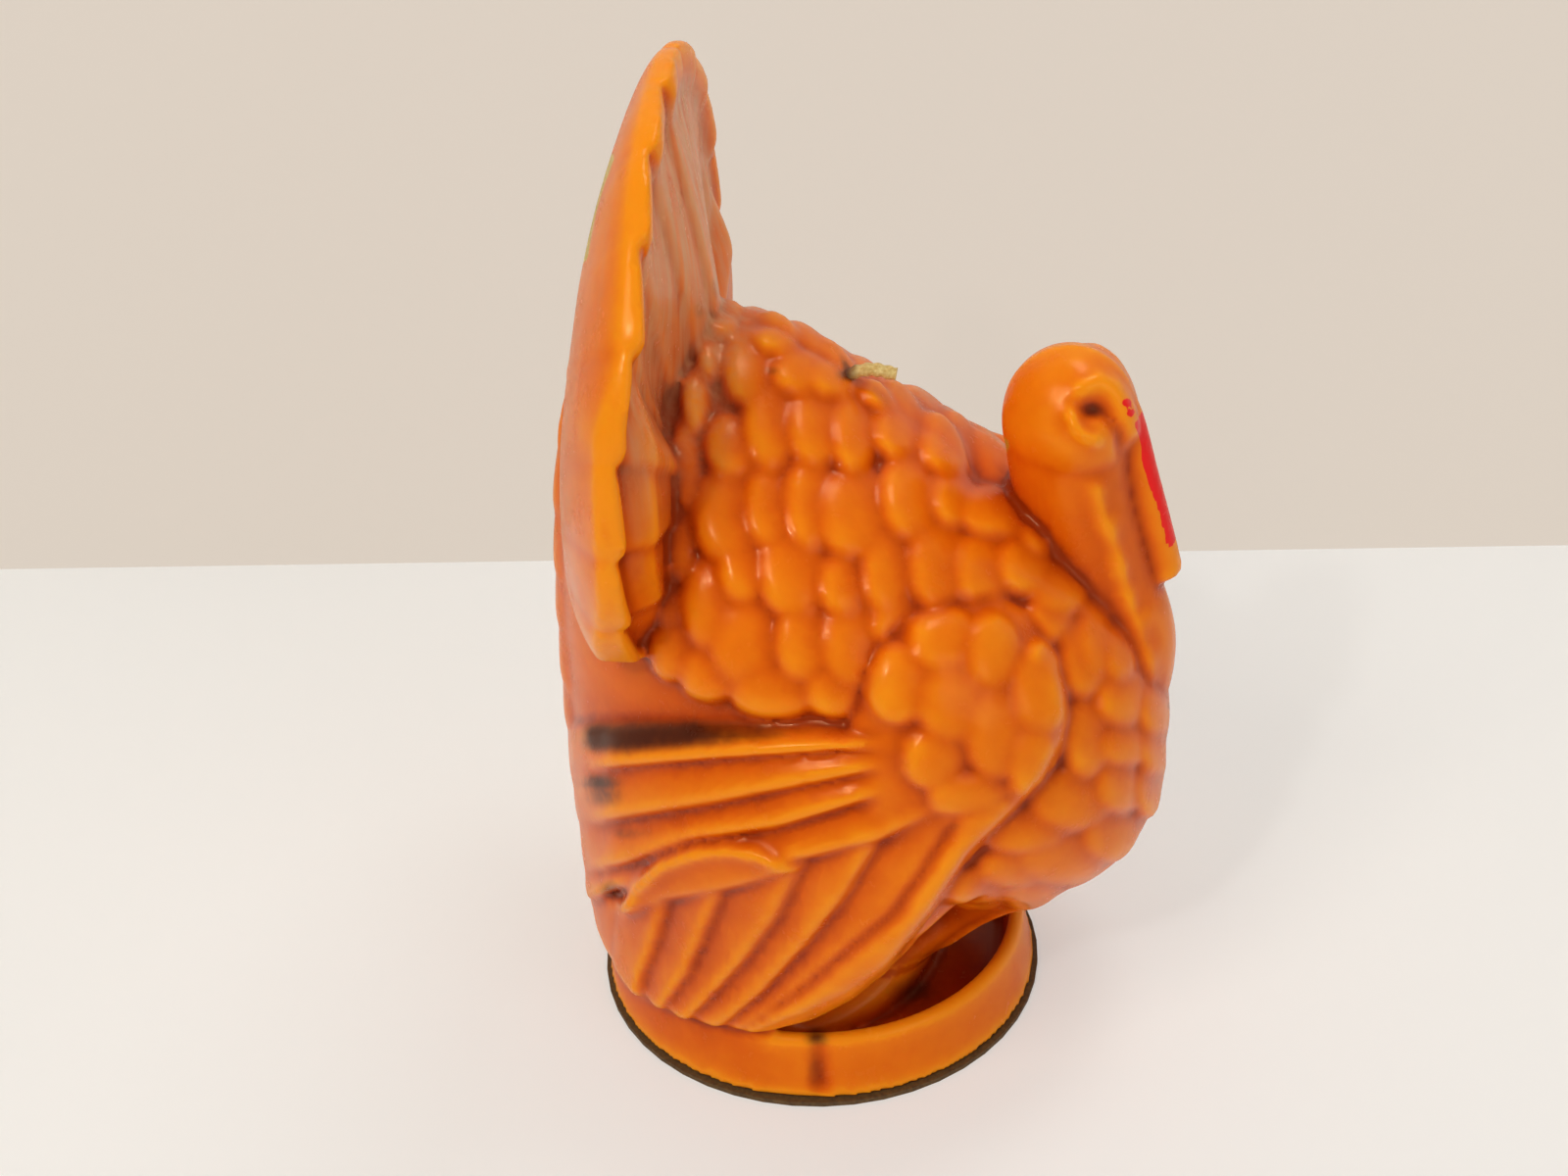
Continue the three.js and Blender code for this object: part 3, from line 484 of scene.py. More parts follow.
def side_relief(u, v, on_wing):
    """Height of the relief over the body's skin where the photograph shows it (mm)."""
    wing, inside = wing_height(u, v)
    wing = wing * on_wing
    body = BODY_SCALE_HEIGHT * scales_at(u, v, BODY_SCALES + FAN_ROOT_SCALES, BODY_LEAN)
    breast = BREAST_SCALE_HEIGHT * scales_at(u, v, BREAST_SCALES, BREAST_LEAN)
    return np.where(inside > 0, wing, np.maximum(body, breast))


def rows_relief(turn, z):
    """Staggered rows of scales for the parts of the body that the photograph doesn't show (mm)."""
    height = np.zeros(turn.shape)
    row = np.round(z / HIDDEN_ROW_PITCH)
    for dr in (-1, 0, 1):
        middle = (row + dr) * HIDDEN_ROW_PITCH
        along = turn / math.pi * HALF_GIRTH / HIDDEN_SCALE_PITCH + 0.5 * ((row + dr) % 2)
        for dc in (-1, 0, 1):
            s = (along - np.round(along) - dc) / HIDDEN_HALF_WIDTH
            t = (middle - z) / HIDDEN_HALF_HEIGHT
            near = (np.abs(s) < 1) & (np.abs(t) < 1)
            height[near] = np.maximum(height[near], scale_height(s[near], t[near], HIDDEN_LEAN))
    return HIDDEN_SCALE_HEIGHT * height


# ---------------------------------------------------------------- forms
def read(collection, name, size, kind=np.float32):
    """A property of all vertices or edges, in rows of its size."""
    values = np.empty(len(collection) * size, kind)
    collection.foreach_get(name, values)
    return values.reshape(-1, size) if size > 1 else values


def skin(around, levels):
    """A fine net to be wrapped into a closed form, with each vertex's turn (-pi..pi) and level (0..1)."""
    bm = bmesh.new()
    bmesh.ops.create_grid(bm, x_segments=around, y_segments=levels, size=1)
    mesh = bpy.data.meshes.new("form")
    bm.to_mesh(mesh)
    bm.free()
    net = read(mesh.vertices, "co", 3).astype(float)
    return mesh, net[:, 0] * math.pi, (net[:, 1] + 1) / 2


def placed(mesh, points):
    """The net moved to its points, with the seam and both ends closed."""
    mesh.vertices.foreach_set("co", (points * 0.001).astype(np.float32).ravel())
    bm = bmesh.new()
    bm.from_mesh(mesh)
    bmesh.ops.remove_doubles(bm, verts=bm.verts, dist=1e-7)
    bmesh.ops.recalc_face_normals(bm, faces=bm.faces)
    bm.to_mesh(mesh)
    bm.free()
    return mesh


def evened(values, rows, rounds):
    """Values on a net of rows evened out over each vertex's neighbours."""
    net = values.reshape(rows, -1)
    for _ in range(rounds):
        for axis in (0, 1):
            padded = np.concatenate([net.take([0], axis), net, net.take([-1], axis)], axis)
            count = net.shape[axis]
            ahead = padded.take(range(2, count + 2), axis)
            net = 0.5 * net + 0.25 * (padded.take(range(count), axis) + ahead)
    return net.ravel()


def path_places(stations, path, at, ahead):
    """Places along a curved path in the mid-plane, and the way it runs there."""
    path = np.asarray(path, float)
    x, z = (smooth_curve(stations, path[:, k], at) for k in (0, 1))
    dx, dz = (
        smooth_curve(stations, path[:, k], at + ahead) - smooth_curve(stations, path[:, k], at - ahead)
        for k in (0, 1)
    )
    size = np.hypot(dx, dz)
    return x, z, dx / size, dz / size


def trunk_skin(side, z):
    """The body's skin on its right side, at a turn from straight ahead and at a height."""
    front, back, half_width, tuck = (smooth_curve(SECTIONS[:, 0], SECTIONS[:, k], z) for k in (1, 2, 3, 4))
    x = (front - back) / 2 + (front + back) / 2 * np.cos(side)
    forward = 1 - np.cos(side) ** 2
    edge = np.interp(z, *zip(*WING_FRONT))
    kept = 1 - tuck * step(x, edge, edge + TUCK_REACH) * forward
    return np.stack([x, -half_width * np.sin(side) * kept, z], 1)


def trunk():
    """Body with wings and scales: an oval tube that follows the sections and carries the relief."""
    mesh, turn, level = skin(*TRUNK_NET)
    rise = np.clip((level - FOOT_SHARE) / (1 - FOOT_SHARE - TOP_SHARE), 0, 1)
    z = FOOT_BOTTOM + (BODY_HEIGHT - FOOT_BOTTOM) * rise
    to_top = np.clip((1 - level) / TOP_SHARE, 0, 1)
    cap = np.minimum(np.clip(level / FOOT_SHARE, 0, 1), np.sin(to_top * math.pi / 2))
    side = np.abs(turn)
    base = trunk_skin(side, z)
    around = trunk_skin(side - 0.01, z) - trunk_skin(side + 0.01, z)
    normal = np.cross(around, trunk_skin(side, z + 0.5) - trunk_skin(side, z - 0.5))
    normal *= np.sign(normal[:, :1] * np.cos(side)[:, None] - normal[:, 1:2] * np.sin(side)[:, None])
    normal /= np.linalg.norm(normal, axis=1)[:, None]
    middle = smooth_curve(SECTIONS[:, 0], (SECTIONS[:, 1] - SECTIONS[:, 2]) / 2, z)
    base[:, 0] = middle + (base[:, 0] - middle) * cap
    base[:, 1] *= cap
    base[:, 2] += CROWN_RISE * (1 - cap) * (level > 0.5)
    to_eye = CAMERA_PLACE - base
    facing = np.sum(normal * to_eye, 1) / np.linalg.norm(to_eye, axis=1)
    hidden = rows_relief(side, z)
    edge = np.interp(z, *zip(*WING_FRONT))
    none, whole = WING_LIMIT
    on_wing = np.maximum(step(base[:, 0], edge + none, edge + whole), step(z, *SHOULDER_HEIGHTS))
    shown = step(facing, 0.02, 0.16)
    # The relief moves the skin, and so the pixel that shows it: the height settles in a few rounds.
    height = np.full(len(z), 2.0)
    for _ in range(8):
        u, v = in_photo(base + normal * height[:, None])
        wanted = shown * side_relief(u, v, on_wing) + (1 - shown) * hidden
        height = evened(0.6 * height + 0.4 * wanted, TRUNK_NET[1] + 1, 1)
    height *= step(z, PLINTH_HEIGHT - 2, PLINTH_HEIGHT + 3) * cap
    height -= NAPE_DEPTH * np.exp(-(((base[:, 0] - NAPE_X) / NAPE_REACH) ** 2)) * step(z, *NAPE_HEIGHTS)
    points = base + normal * (height - SKIN_INSET)[:, None]
    points[:, 1] *= np.where(turn > 0, -1, 1)
    return placed(mesh, points)


def fan():
    """Tail fan: a thick disc with a scalloped rim, fluted face and ribbed dome behind."""
    mesh, turn, level = skin(608, 150)
    front = level > 0.5
    share = np.sin(math.pi * np.where(front, 1 - level, level)) ** 0.8
    pitch = 2 * FAN_END / FAN_FEATHERS
    scalloped = np.abs(turn) < FAN_END
    lobe = np.where(scalloped, np.sqrt(np.abs(np.cos(math.pi * turn / pitch))), 0)
    away = np.abs(turn)
    tuck = FAN_TUCK * step(away, FAN_END - 0.1, FAN_END + 0.35)
    uneven = 0.35 * np.sin(3.1 * turn + 0.6) + 0.25 * np.sin(9.3 * turn)
    radius = (FAN_RADIUS * (1 - tuck) - FAN_NOTCH * (1 - lobe) + uneven * lobe) * share
    z = FAN_MIDDLE - FAN_DROP * (1 - share) + radius * np.cos(turn)
    fall = (FAN_TOP - z) / (FAN_RADIUS + FAN_DROP)
    y = radius * np.sin(turn)
    # Skew: the near side is forward high up, and the far side is back.
    high = step(z, *FAN_SKEW_HEIGHTS)
    skew = -FAN_SKEW * y * np.where(y > 0, 1, high)
    edge = -FAN_FRONT - FAN_SWEEP * fall ** 2 + skew
    thick = np.maximum(1 - share ** 2, 0)
    crown = FAN_CROWN * np.maximum(np.cos(turn), 0) ** 4 * thick ** 1.3
    # Each feather's face slopes from its groove to a raised edge beside the next groove.
    across = (away / pitch + 0.5) % 1
    tip = np.where(scalloped, blade(across, 0.6) - 0.5, 0) * np.where(turn > 0, 0.5, 1)
    inner = step(share, 0.97, 0.88) * step(share, 0.15, 0.4)
    face = edge + crown + FAN_TIP_RELIEF * tip * (1 - inner) * step(share, 0.5, 0.9)
    sides = FAN_SIDE_RISE * step(share, 0.95, 0.8) * step(away, 0.9, 1.4)
    face += inner * (FAN_FACE_RELIEF * tip - FAN_DISH + sides)
    rim = FAN_RIM - 0.8 * high + 1.8 * step(away, 1.85, 2.2)
    dome = edge - rim - (FAN_DEPTH + FAN_RIM - rim + skew) * thick ** (0.85 - 0.15 * high)
    x = np.where(front, face, dome)
    return placed(mesh, np.stack([x, y, z], 1))


def bar(around, levels, path, half_widths, half_depths):
    """A rounded bar along a path in the mid-plane, with its half width and half depth at each place."""
    mesh, turn, level = skin(around, levels)
    stations = np.linspace(0, 1, len(path))
    at = np.clip((level - BAR_END) / (1 - 2 * BAR_END), 0, 1)
    cap = np.sin(np.clip(np.minimum(level, 1 - level) / BAR_END, 0, 1) * math.pi / 2)
    x, z, dx, dz = path_places(stations, path, at, 0.01)
    width = smooth_curve(stations, half_widths, at) * cap
    depth = smooth_curve(stations, half_depths, at) * cap
    end = np.where(level < 0.5, -1, 1) * (1 - cap) * smooth_curve(stations, half_depths, at) * 0.6
    across = depth * np.cos(turn)
    points = np.stack([x - dz * across + dx * end, width * np.sin(turn), z + dx * across + dz * end], 1)
    return mesh, points


def plinth():
    """The foot: a profile spun about the middle, with a tray sunk into its front."""
    top = PLINTH_RADIUS - PLINTH_FLARE
    bend = PLINTH_ROUNDING
    rim = [
        (top - bend + bend * math.sin(a), PLINTH_HEIGHT - bend + bend * math.cos(a))
        for a in np.linspace(math.pi / 2, 0, 6)
    ]
    wall = [
        (PLINTH_RADIUS - PLINTH_FLARE * s ** 0.7, FOOT_BOTTOM + s * PLINTH_WALL)
        for s in np.linspace(0, 1, 14)
    ]
    floor = [(r, FOOT_BOTTOM) for r in np.linspace(0, PLINTH_RADIUS, 12)]
    deck = [(r, PLINTH_HEIGHT) for r in np.linspace(top - 1.7, 0, 60)]
    bm = bmesh.new()
    line = [bm.verts.new((r, 0, z)) for r, z in floor + wall[1:] + rim + deck]
    edges = [bm.edges.new(pair) for pair in zip(line, line[1:])]
    bmesh.ops.spin(
        bm, geom=line + edges, cent=(0, 0, 0), axis=(0, 0, 1), dvec=(0, 0, 0), angle=2 * math.pi,
        steps=300, use_merge=True, use_duplicate=False,
    )
    bmesh.ops.remove_doubles(bm, verts=bm.verts, dist=1e-4)
    bmesh.ops.recalc_face_normals(bm, faces=bm.faces)
    mesh = bpy.data.meshes.new("plinth")
    bm.to_mesh(mesh)
    bm.free()
    points = read(mesh.vertices, "co", 3).astype(float)
    radius = np.hypot(points[:, 0], points[:, 1])
    tray = step(top - PLINTH_RIM - radius, -0.4, 0.9) * step(points[:, 0], -TRAY_BACK - 1, -TRAY_BACK + 1)
    across = np.hypot(points[:, 0] - MARK_FOOT[0], points[:, 1] - MARK_FOOT[1])
    groove = MARK_DEPTH * np.exp(-((across / MARK_HALF_WIDTH) ** 2)) * step(points[:, 2], 1.2, 4)
    points[:, :2] *= (1 - groove / np.maximum(radius, 1))[:, None]
    deck_level = points[:, 2] > PLINTH_HEIGHT - 0.01
    points[:, 2] -= np.where(deck_level, TRAY_DEPTH * tray, 0)
    return placed(mesh, points)


def forward_at(line, z):
    """How far forward a middle line that runs downwards lies at each height."""
    return np.interp(z, *zip(*[(height, x) for x, height in line[::-1]]))


def head():
    """Skull with brow, eye and cheek."""
    mesh, turn, level = skin(220, 150)
    lift = (level - 0.5) * math.pi
    way = np.stack([np.cos(lift) * np.cos(turn), -np.cos(lift) * np.abs(np.sin(turn)), np.sin(lift)], 1)
    base = HEAD + way * HEAD_HALF
    height = np.zeros(len(base))
    for _ in range(3):
        u, v = in_photo(base + way * height[:, None])
        shown = step(-way[:, 1], 0.05, 0.3)
        height = shown * (
            BROW_HEIGHT * ridge(u, v, SNOOD_ROOT, SNOOD_ROOT_HALF)
            + EYELID_HEIGHT * ridge(u, v, EYE_CRESCENT, EYE_CRESCENT_HALF)
            - EYE_DEPTH * blob(u, v, EYE_DENT, *EYE_HALF)
            - EYE_GROOVE_DEPTH * ridge(u, v, EYE_GROOVE, EYE_GROOVE_HALF)
            + CHEEK_HEIGHT * blob(u, v, CHEEK, *CHEEK_HALF)
        )
    crest = 0.25 * np.exp(-((way[:, 1] / 0.09) ** 2)) * step(way[:, 2], 0.2, 0.6)
    points = base + way * (height + crest)[:, None]
    points[:, 1] *= np.where(turn > 0, -1, 1)
    return placed(mesh, points)


def neck():
    """Neck with the lumpy wattle down its front."""
    mesh, points = bar(160, 200, NECK_LINE, NECK_HALF_WIDTHS, NECK_HALF_DEPTHS)
    u, v = in_photo_folded(points)
    lumps = sum(blob(u, v, at, *WATTLE_HALF) for at in WATTLE_LUMPS)
    fold = ridge(u, v, NECK_RIDGE, NECK_RIDGE_HALF)
    out = points * [1, 1, 0]
    out[:, 0] -= forward_at(NECK_LINE, points[:, 2])
    out /= np.maximum(np.linalg.norm(out, axis=1)[:, None], 1e-6)
    return placed(mesh, points + out * (WATTLE_HEIGHT * lumps + NECK_RIDGE_HEIGHT * fold)[:, None])


def snood():
    """The flap of skin that hangs from the beak's root down the front of the neck."""
    mesh, points = bar(80, 140, SNOOD_LINE, SNOOD_HALF_WIDTHS, SNOOD_HALF_DEPTHS)
    return placed(mesh, points)


# ---------------------------------------------------------------- casting
def joined(name, meshes):
    """One piece in the scene made of all the meshes."""
    bm = bmesh.new()
    for mesh in meshes:
        bm.from_mesh(mesh)
    whole = bpy.data.meshes.new(name)
    bm.to_mesh(whole)
    bm.free()
    piece = bpy.data.objects.new(name, whole)
    bpy.context.scene.collection.objects.link(piece)
    return piece


def finished(piece):
    """The piece with its modifiers made real."""
    seen = piece.evaluated_get(bpy.context.evaluated_depsgraph_get())
    mesh = bpy.data.meshes.new_from_object(seen)
    piece.modifiers.clear()
    old, piece.data = piece.data, mesh
    bpy.data.meshes.remove(old)
    return piece


def cast_wax():
    """All the forms run together as one casting, with the edges that wax melts soft."""
    piece = joined("wax_casting", [trunk(), fan(), plinth(), head(), neck(), snood()])
    melt = piece.modifiers.new("run_together", "REMESH")
    melt.mode = "VOXEL"
    melt.voxel_size = 0.00066
    melt.use_smooth_shade = True
    soft = piece.modifiers.new("soft_edges", "SMOOTH")
    soft.factor = 0.5
    soft.iterations = 2
    thin = piece.modifiers.new("fewer_faces", "DECIMATE")
    thin.ratio = 0.66
    return finished(piece)


def averaged(values, first, second, count, rounds):
    """Values evened out over neighbouring vertices."""
    for _ in range(rounds):
        total = values.copy()
        for k in range(values.shape[1]):
            total[:, k] += np.bincount(first, values[second, k], len(values))
            total[:, k] += np.bincount(second, values[first, k], len(values))
        values = total / count[:, None]
    return values


def mark(mesh, name, values):
    """A value of each vertex, stored for the material to read."""
    layer = mesh.attributes.new(name, "FLOAT", "POINT")
    layer.data.foreach_set("value", values.astype(np.float32))


def mark_finishes_and_painted_light(piece):
    """How deep each place lies in a recess, and where the tray's painted shade, glaze, paint, pale wax and
    the fan's painted sheen are.
    """
    mesh = piece.data
    points = read(mesh.vertices, "co", 3).astype(float) * 1000
    normal = read(mesh.vertices, "normal", 3).astype(float)
    edges = read(mesh.edges, "vertices", 2, np.int32)
    first, second = edges[:, 0], edges[:, 1]
    count = 1 + np.bincount(first, minlength=len(points)) + np.bincount(second, minlength=len(points))
    fine = averaged(points, first, second, count, FINE_ROUNDS)
    broad = averaged(fine, first, second, count, BROAD_ROUNDS)
    mark(mesh, "fine_recess", np.sum((fine - points) * normal, 1))
    mark(mesh, "broad_recess", np.sum((broad - points) * normal, 1))
    u, v = in_photo_folded(points)
    x, y, z = points.T
    before_wing = x - np.interp(z, *zip(*WING_FRONT))
    # Painted shade: the tray, and the stem under the breast in front of the wing.
    within = step(PLINTH_RADIUS - PLINTH_FLARE - PLINTH_RIM - np.hypot(x, y), 0, 1.5)
    over_foot = step(z, PLINTH_HEIGHT, PLINTH_HEIGHT + 1) * step(before_wing, 0, 2)
    under = np.maximum(within * (z < PLINTH_HEIGHT), over_foot)
    under *= np.where(z < PLINTH_HEIGHT - 1, 0, 1)
    mark(mesh, "tray_painted_shade", under * step(z, *TRAY_SHADE_HEIGHTS) * step(x, *TRAY_SHADE_START))
    glaze = np.zeros(len(points))
    for cu, cv, half_width, half_height, strength in GLAZE_POOLS:
        glaze = np.maximum(glaze, strength * blob(u, v, (cu, cv), half_width, half_height))
    away = line_distance(u, v, GLAZE_STREAK) / np.interp(u, *STREAK_HALF_WIDTH)
    glaze = np.maximum(glaze, np.interp(u, *STREAK_STRENGTH) * np.exp(-(away ** 3)))
    mark(mesh, "glaze", glaze)
    paint = np.exp(-((line_distance(u, v, RED_STRIPE) / RED_STRIPE_HALF) ** 4))
    for cu, cv, reach in RED_DABS:
        paint = np.maximum(paint, blob(u, v, (cu, cv), reach, reach))
    # The front of the snood is red right across, between the stripes of its two sides.
    half_width, middle, half_height = SNOOD_PAINT
    between = (np.abs(y) < half_width) & (np.abs(z - middle) < half_height)
    between &= x - forward_at(SNOOD_LINE, z) > 0.8
    mark(mesh, "red_paint", np.maximum(paint, between) * (z > PAINT_FOOT))
    pale = ridge(u, v, PALE_SEAM, PALE_SEAM_HALF) * (x < FACE_BACK[0])
    mark(mesh, "pale_wax", np.maximum(pale, blob(u, v, PALE_NOTCH, *PALE_NOTCH_HALF)) * (y < 1))
    # Painted sheen: a pale reflection on the fan's face, fading in towards the top.
    off_rim = step(np.hypot(y, z - FAN_MIDDLE), *(FAN_RADIUS - inset for inset in FACE_INSET))
    in_front = step(x, *FACE_BACK) * step(x, *FACE_FRONT)
    mark(mesh, "fan_painted_sheen", off_rim * in_front * step(z, *FACE_HEIGHTS))


# ---------------------------------------------------------------- wick
def braid():
    """The flat braid from its tab up through the bore, bent forward over the back."""
    low, high = (np.array(corner) * 1000 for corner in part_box("wick"))
    x = low[0] + BRAID_INSET
    top = high[2] - BRAID_INSET
    path = np.array([
        (x, low[2] + 0.6), (x, 35), (x, 70), (x + 0.1, top - 3.6), (x + 1.5, top - 1.5),
        (x + 4.4, top - 0.4), (high[0] + 0.6, top - 1.0),
    ], float)
    reach = np.concatenate([[0], np.cumsum(np.hypot(*np.diff(path, axis=0).T))])
    length = reach[-1]
    mesh, turn, level = skin(40, 700)
    at = np.clip((level - BRAID_END) / (1 - 2 * BRAID_END), 0, 1)
    px, pz, dx, dz = path_places(reach, path, at * length, 0.2)
    cap = np.clip(np.minimum(level, 1 - level) / BRAID_END, 0, 1)
    across = np.cos(turn)
    plait = PLAIT_DEPTH * np.cos(2 * math.pi * (at * length / PLAIT_PITCH + 0.5 * np.abs(across)))
    half_thick = (BRAID_HALF_THICK + plait) * np.sin(turn) * cap
    half_wide = (BRAID_HALF_WIDE + 0.5 * plait) * np.sign(across) * np.abs(across) ** 0.7 * cap
    points = np.stack([px + dz * half_thick, half_wide, pz - dx * half_thick], 1)
    piece = bpy.data.objects.new("wick_braid", placed(mesh, points))
    bpy.context.scene.collection.objects.link(piece)
    return piece


# ---------------------------------------------------------------- materials
def linear(colour):
    """A colour of a screen, such as "#FF8000", in the renderer's own linear values."""
    channels = [int(colour[i:i + 2], 16) / 255 for i in (1, 3, 5)]
    return [c / 12.92 if c <= 0.04045 else ((c + 0.055) / 1.055) ** 2.4 for c in channels] + [1.0]


def add(tree, kind, settings=None, **links):
    """A node of a kind, with its settings, its inputs' values and its links."""
    node = tree.nodes.new(kind)
    for name, value in (settings or {}).items():
        setattr(node, name, value)
    for name, value in links.items():
        key = int(name[1:]) if name[0] == "i" and name[1:].isdigit() else name.replace("_", " ")
        if isinstance(value, bpy.types.NodeSocket):
            tree.links.new(value, node.inputs[key])
        else:
            node.inputs[key].default_value = value
    return node


def new_material(name):
    """A material with an empty tree of nodes."""
    material = bpy.data.materials.new(name)
    material.use_nodes = True
    material.node_tree.nodes.clear()
    return material, material.node_tree


def ramp(tree, factor, stops):
    """A colour that runs through several stops."""
    node = add(tree, "ShaderNodeValToRGB", Fac=factor)
    elements = node.color_ramp.elements
    for _ in stops[2:]:
        elements.new(0.5)
    for element, (place, colour) in zip(elements, stops):
        element.position = place
        element.color = linear(colour)
    return node.outputs[0]


def mixed(tree, factor, first, second):
    """A colour between two, by a factor."""
    node = add(tree, "ShaderNodeMix", {"data_type": "RGBA", "blend_type": "MIX"})
    for socket, value in ((node.inputs[0], factor), (node.inputs[6], first), (node.inputs[7], second)):
        if isinstance(value, bpy.types.NodeSocket):
            tree.links.new(value, socket)
        else:
            socket.default_value = value
    return node.outputs[2]


def attribute(tree, name):
    """A value that was stored for each vertex."""
    return add(tree, "ShaderNodeAttribute", {"attribute_name": name}).outputs["Fac"]


def noise(tree, where, grain, detail, roughness):
    """Cloudy noise in patches of a real size (m)."""
    return add(
        tree, "ShaderNodeTexNoise", Vector=where, Scale=1 / grain, Detail=detail, Roughness=roughness,
    ).outputs["Fac"]


def maths(tree, operation, *values):
    """Values put through a sum; MULTIPLY_ADD is the first by the second, plus the third."""
    inputs = {f"i{k}": value for k, value in enumerate(values)}
    return add(tree, "ShaderNodeMath", {"operation": operation}, **inputs).outputs[0]


def mapped(tree, value, low, high, least, most):
    """A value's range low..high spread over least..most."""
    return add(
        tree, "ShaderNodeMapRange", Value=value, From_Min=low, From_Max=high, To_Min=least, To_Max=most,
    ).outputs[0]


def eased(tree, value, low, high):
    """A soft mask: 0 at low and 1 at high."""
    smooth = {"interpolation_type": "SMOOTHSTEP"}
    return add(tree, "ShaderNodeMapRange", smooth, Value=value, From_Min=low, From_Max=high).outputs[0]


def surfaced(tree, shader):
    """Sets the shader as the material's surface."""
    add(tree, "ShaderNodeOutputMaterial", Surface=shader.outputs[0])


def wax_material():
    """Poured paraffin, dipped: light sinks into it. Its colour is painted deeper red-brown in recesses as
    shade, and paler on ridges and edges as highlight.
    """
    material, tree = new_material("poured_orange_wax")
    where = add(tree, "ShaderNodeTexCoord").outputs["Object"]
    # Mottling of 6 mm patches and flecks of 1.2 mm.
    patches = noise(tree, where, 0.006, 3.0, 0.55)
    flecks = noise(tree, where, 0.0012, 2.0, 0.6)
    # Painted shade and highlight: the colour deepens in fine and broad recesses and pales on ridges and
    # edges; the patches add mottled tone.
    depth = maths(tree, "MULTIPLY_ADD", attribute(tree, "fine_recess"), 1.2, 0.47)
    depth = maths(tree, "MULTIPLY_ADD", attribute(tree, "broad_recess"), 0.19, depth)
    depth = maths(tree, "ADD", depth, maths(tree, "MULTIPLY_ADD", patches, 0.3, -0.15))
    # Painted shade in the tray and on the stem under the breast.
    depth = maths(tree, "MULTIPLY_ADD", attribute(tree, "tray_painted_shade"), 0.4, depth)
    colour = ramp(tree, depth, [
        (0.0, "#F99414"), (0.25, "#EE7A0C"), (0.45, "#E26607"),
        (0.65, "#D15404"), (0.85, "#B64004"), (1.0, "#962E04"),
    ])
    # Brown glaze, with ragged edges.
    ragged = maths(tree, "ADD", attribute(tree, "glaze"), maths(tree, "MULTIPLY_ADD", patches, 0.5, -0.25))
    colour = mixed(tree, eased(tree, ragged, 0.15, 0.95), colour, linear("#4E1E0E"))
    # Painted sheen: a pale reflection on the fan's face, broken into streaks 1.5 mm wide and 19 mm long.
    drawn_out = (1, 1, 0.08)
    along = add(tree, "ShaderNodeVectorMath", {"operation": "MULTIPLY"}, i0=where, i1=drawn_out).outputs[0]
    sheen_streaks = mapped(tree, noise(tree, along, 0.0015, 2.0, 0.5), 0.35, 0.65, 0.3, 0.85)
    painted_sheen = maths(tree, "MULTIPLY", attribute(tree, "fan_painted_sheen"), sheen_streaks)
    colour = mixed(tree, painted_sheen, colour, linear("#D8A070"))
    colour = mixed(tree, eased(tree, attribute(tree, "pale_wax"), 0.3, 0.6), colour, linear("#C8B034"))
    # Red paint, brushed on in flecks at its edges.
    brushed = maths(tree, "MULTIPLY_ADD", flecks, 0.5, attribute(tree, "red_paint"))
    colour = mixed(tree, eased(tree, brushed, 0.7, 0.85), colour, linear("#F0161E"))
    grain = maths(tree, "MULTIPLY_ADD", flecks, 0.5, patches)
    rough = mapped(tree, grain, 0.4, 1.1, 0.15, 0.32)
    bump = add(tree, "ShaderNodeBump", Strength=0.22, Distance=0.00014, Height=grain).outputs[0]
    surfaced(tree, add(
        tree, "ShaderNodeBsdfPrincipled", Base_Color=colour, Roughness=rough, IOR=1.44, Normal=bump,
        Subsurface_Weight=0.3, Subsurface_Scale=0.0016, Subsurface_Radius=(1.0, 0.35, 0.12),
        Specular_IOR_Level=0.34, Specular_Tint=linear("#FFD0A0"),
    ))
    return material


def simple_material(name, base, deep, grain_mm, roughness, metallic=0.0, bump_mm=0.05):
    """A plain surface that varies between two colours in patches of a real size."""
    material, tree = new_material(name)
    where = add(tree, "ShaderNodeTexCoord").outputs["Object"]
    grain = noise(tree, where, grain_mm / 1000, 4.0, 0.6)
    colour = ramp(tree, grain, [(0.3, base), (0.7, deep)])
    rough = mapped(tree, grain, 0.3, 0.7, roughness - 0.06, roughness + 0.06)
    bump = add(tree, "ShaderNodeBump", Strength=0.5, Distance=bump_mm / 1000, Height=grain).outputs[0]
    surfaced(tree, add(
        tree, "ShaderNodeBsdfPrincipled", Base_Color=colour, Roughness=rough, Metallic=metallic, Normal=bump,
    ))
    return material


def wick_material():
    """Cotton braid soaked in wax: pale yellow, with a scorched brown root where it leaves the back."""
    material, tree = new_material("waxed_cotton_braid")
    where = add(tree, "ShaderNodeTexCoord").outputs["Object"]
    strands = noise(tree, where, 0.0006, 3.0, 0.6)
    colour = ramp(tree, strands, [(0.3, "#E6D08A"), (0.7, "#B8953E")])
    forward = add(tree, "ShaderNodeSeparateXYZ", Vector=where).outputs["X"]
    colour = mixed(tree, eased(tree, forward, 0.0085, 0.0062), colour, linear("#5A2C10"))
    bump = add(tree, "ShaderNodeBump", Strength=0.6, Distance=0.0001, Height=strands).outputs[0]
    surfaced(tree, add(tree, "ShaderNodeBsdfPrincipled", Base_Color=colour, Roughness=0.5, Normal=bump))
    return material


def dress(piece, material):
    """The piece in one material, shaded smooth."""
    piece.data.materials.clear()
    piece.data.materials.append(material)
    for polygon in piece.data.polygons:
        polygon.use_smooth = True


# ---------------------------------------------------------------- assembly
casting = cast_wax()
mark_finishes_and_painted_light(casting)
dress(casting, wax_material())
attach(casting, "root")
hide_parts("wax_shell")

wick = braid()
dress(wick, wick_material())
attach(wick, "root")
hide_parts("wick")

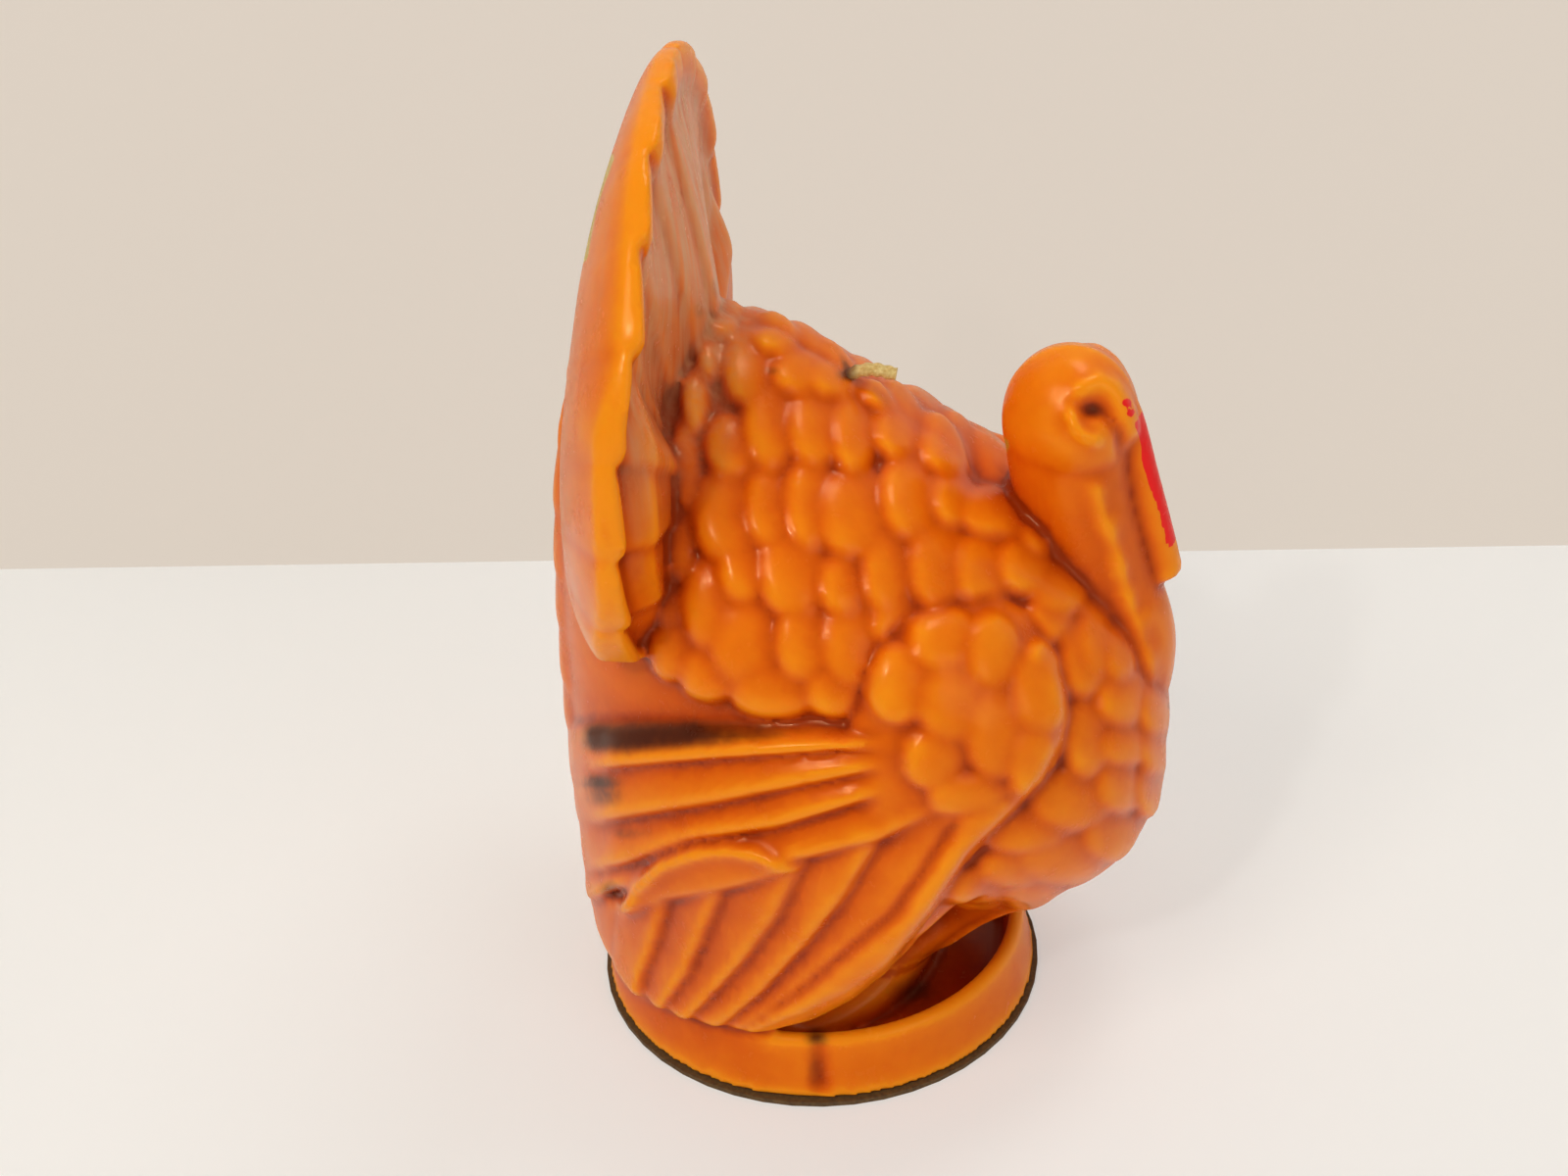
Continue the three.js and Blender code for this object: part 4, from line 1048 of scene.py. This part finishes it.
# Yellow paraffin of the second pour: matt, with cloudy patches of 4 mm.
core_wax = simple_material("poured_yellow_wax", "#DDB650", "#C99A34", 4.0, 0.5)
# Rolled tinned steel: grey, with a fine brushed grain of 0.6 mm.
tinned = simple_material("tinned_steel_sheet", "#BDBDB8", "#A8A8A4", 0.6, 0.34, metallic=0.9, bump_mm=0.01)
# Pulp board soaked brown by wax: dark, with fibres of 0.8 mm.
board = simple_material("waxed_pulp_board", "#6A5028", "#4A3418", 0.8, 0.7, bump_mm=0.08)
for node, material in (("wax_core", core_wax), ("wick_tab", tinned), ("base_card", board)):
    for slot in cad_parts[node].material_slots:
        slot.material = material


# ---------------------------------------------------------------- stage, lamps and camera
def stage_material(name, colour, shade):
    """Plain paint that shows the camera its own colour, and takes the figure's shadow."""
    material, tree = new_material(name)
    plain = add(tree, "ShaderNodeBsdfPrincipled", Base_Color=linear(colour), Roughness=0.9)
    own = add(tree, "ShaderNodeEmission", Color=linear(colour), Strength=1.0)
    to_camera = add(tree, "ShaderNodeLightPath").outputs["Is Camera Ray"]
    share = maths(tree, "MULTIPLY", to_camera, shade)
    mix = add(tree, "ShaderNodeMixShader", Fac=share, i1=plain.outputs[0], i2=own.outputs[0])
    # Clear from behind, so that it never stands before the figure.
    behind = add(tree, "ShaderNodeNewGeometry").outputs["Backfacing"]
    clear = add(tree, "ShaderNodeBsdfTransparent")
    surfaced(tree, add(tree, "ShaderNodeMixShader", Fac=behind, i1=mix.outputs[0], i2=clear.outputs[0]))
    return material


def stage_sheet(name, corners, material):
    """A flat sheet that belongs to the stage, not to the figure."""
    bm = bmesh.new()
    bm.faces.new([bm.verts.new(corner) for corner in corners])
    mesh = bpy.data.meshes.new(name)
    bm.to_mesh(mesh)
    bm.free()
    piece = bpy.data.objects.new(name, mesh)
    bpy.context.scene.collection.objects.link(piece)
    piece.data.materials.append(material)


TABLE = [(-1.5, -1.2, 0), (1.5, -1.2, 0), (1.5, 0.42, 0), (-1.5, 0.42, 0)]
WALL = [(-1.2, -0.002, -0.3), (1.2, 0.255, -0.3), (1.2, 0.255, 1.2), (-1.2, -0.002, 1.2)]
stage_sheet("table_top", TABLE, stage_material("table_paint", "#F8F8F5", 0.4))
stage_sheet("wall", WALL, stage_material("wall_paint", "#E0D5C8", 0.8))


def posed(axes, place):
    """The matrix that stands a lamp or a camera at a place, with its right, up and back axes."""
    return Matrix([[*row, at] for row, at in zip(np.stack(axes, 1), place)] + [[0, 0, 0, 1]])


def lamp(name, place, aim, size, power, colour="#FFFFFF"):
    """A round lamp that shines from its place at its aim (m, W)."""
    light = bpy.data.lights.new(name, "AREA")
    light.shape = "DISK"
    light.size = size
    light.energy = power
    light.color = linear(colour)[:3]
    piece = bpy.data.objects.new(name, light)
    away = np.array(place, float) - np.array(aim, float)
    away /= np.linalg.norm(away)
    right = np.cross([0, 0, 1], away)
    right /= np.linalg.norm(right)
    up = np.cross(away, right)
    piece.matrix_world = posed([right, up, away], place)
    bpy.context.scene.collection.objects.link(piece)


lamp("key_lamp", (-0.35, -0.55, 0.75), (0, 0, 0.07), 0.35, 2.25, "#FFF4E6")
lamp("fill_lamp", (0.6, -0.5, 0.35), (0, 0, 0.07), 0.5, 0.9, "#F2F4FF")
lamp("glint_lamp", (-0.22, -0.6, 0.62), (0, 0, 0.08), 0.05, 0.95)
lamp("back_lamp", (0.12, 0.1, 0.5), (0, 0, 0.08), 0.15, 0.4)

world = bpy.data.worlds.new("studio")
world.use_nodes = True
world.node_tree.nodes["Background"].inputs[0].default_value = linear("#F4F0EA")
world.node_tree.nodes["Background"].inputs[1].default_value = 0.42
bpy.context.scene.world = world

view = bpy.data.cameras.new("photo_camera")
view.sensor_width = SENSOR_MM
view.lens = SENSOR_MM * LENS_PX / PHOTO_WIDTH
camera = bpy.data.objects.new("photo_camera", view)
camera.matrix_world = posed([AXES[0], -AXES[1], -AXES[2]], CAMERA_PLACE * 0.001)
bpy.context.scene.collection.objects.link(camera)
bpy.context.scene.camera = camera
bpy.context.scene.view_settings.view_transform = "Standard"
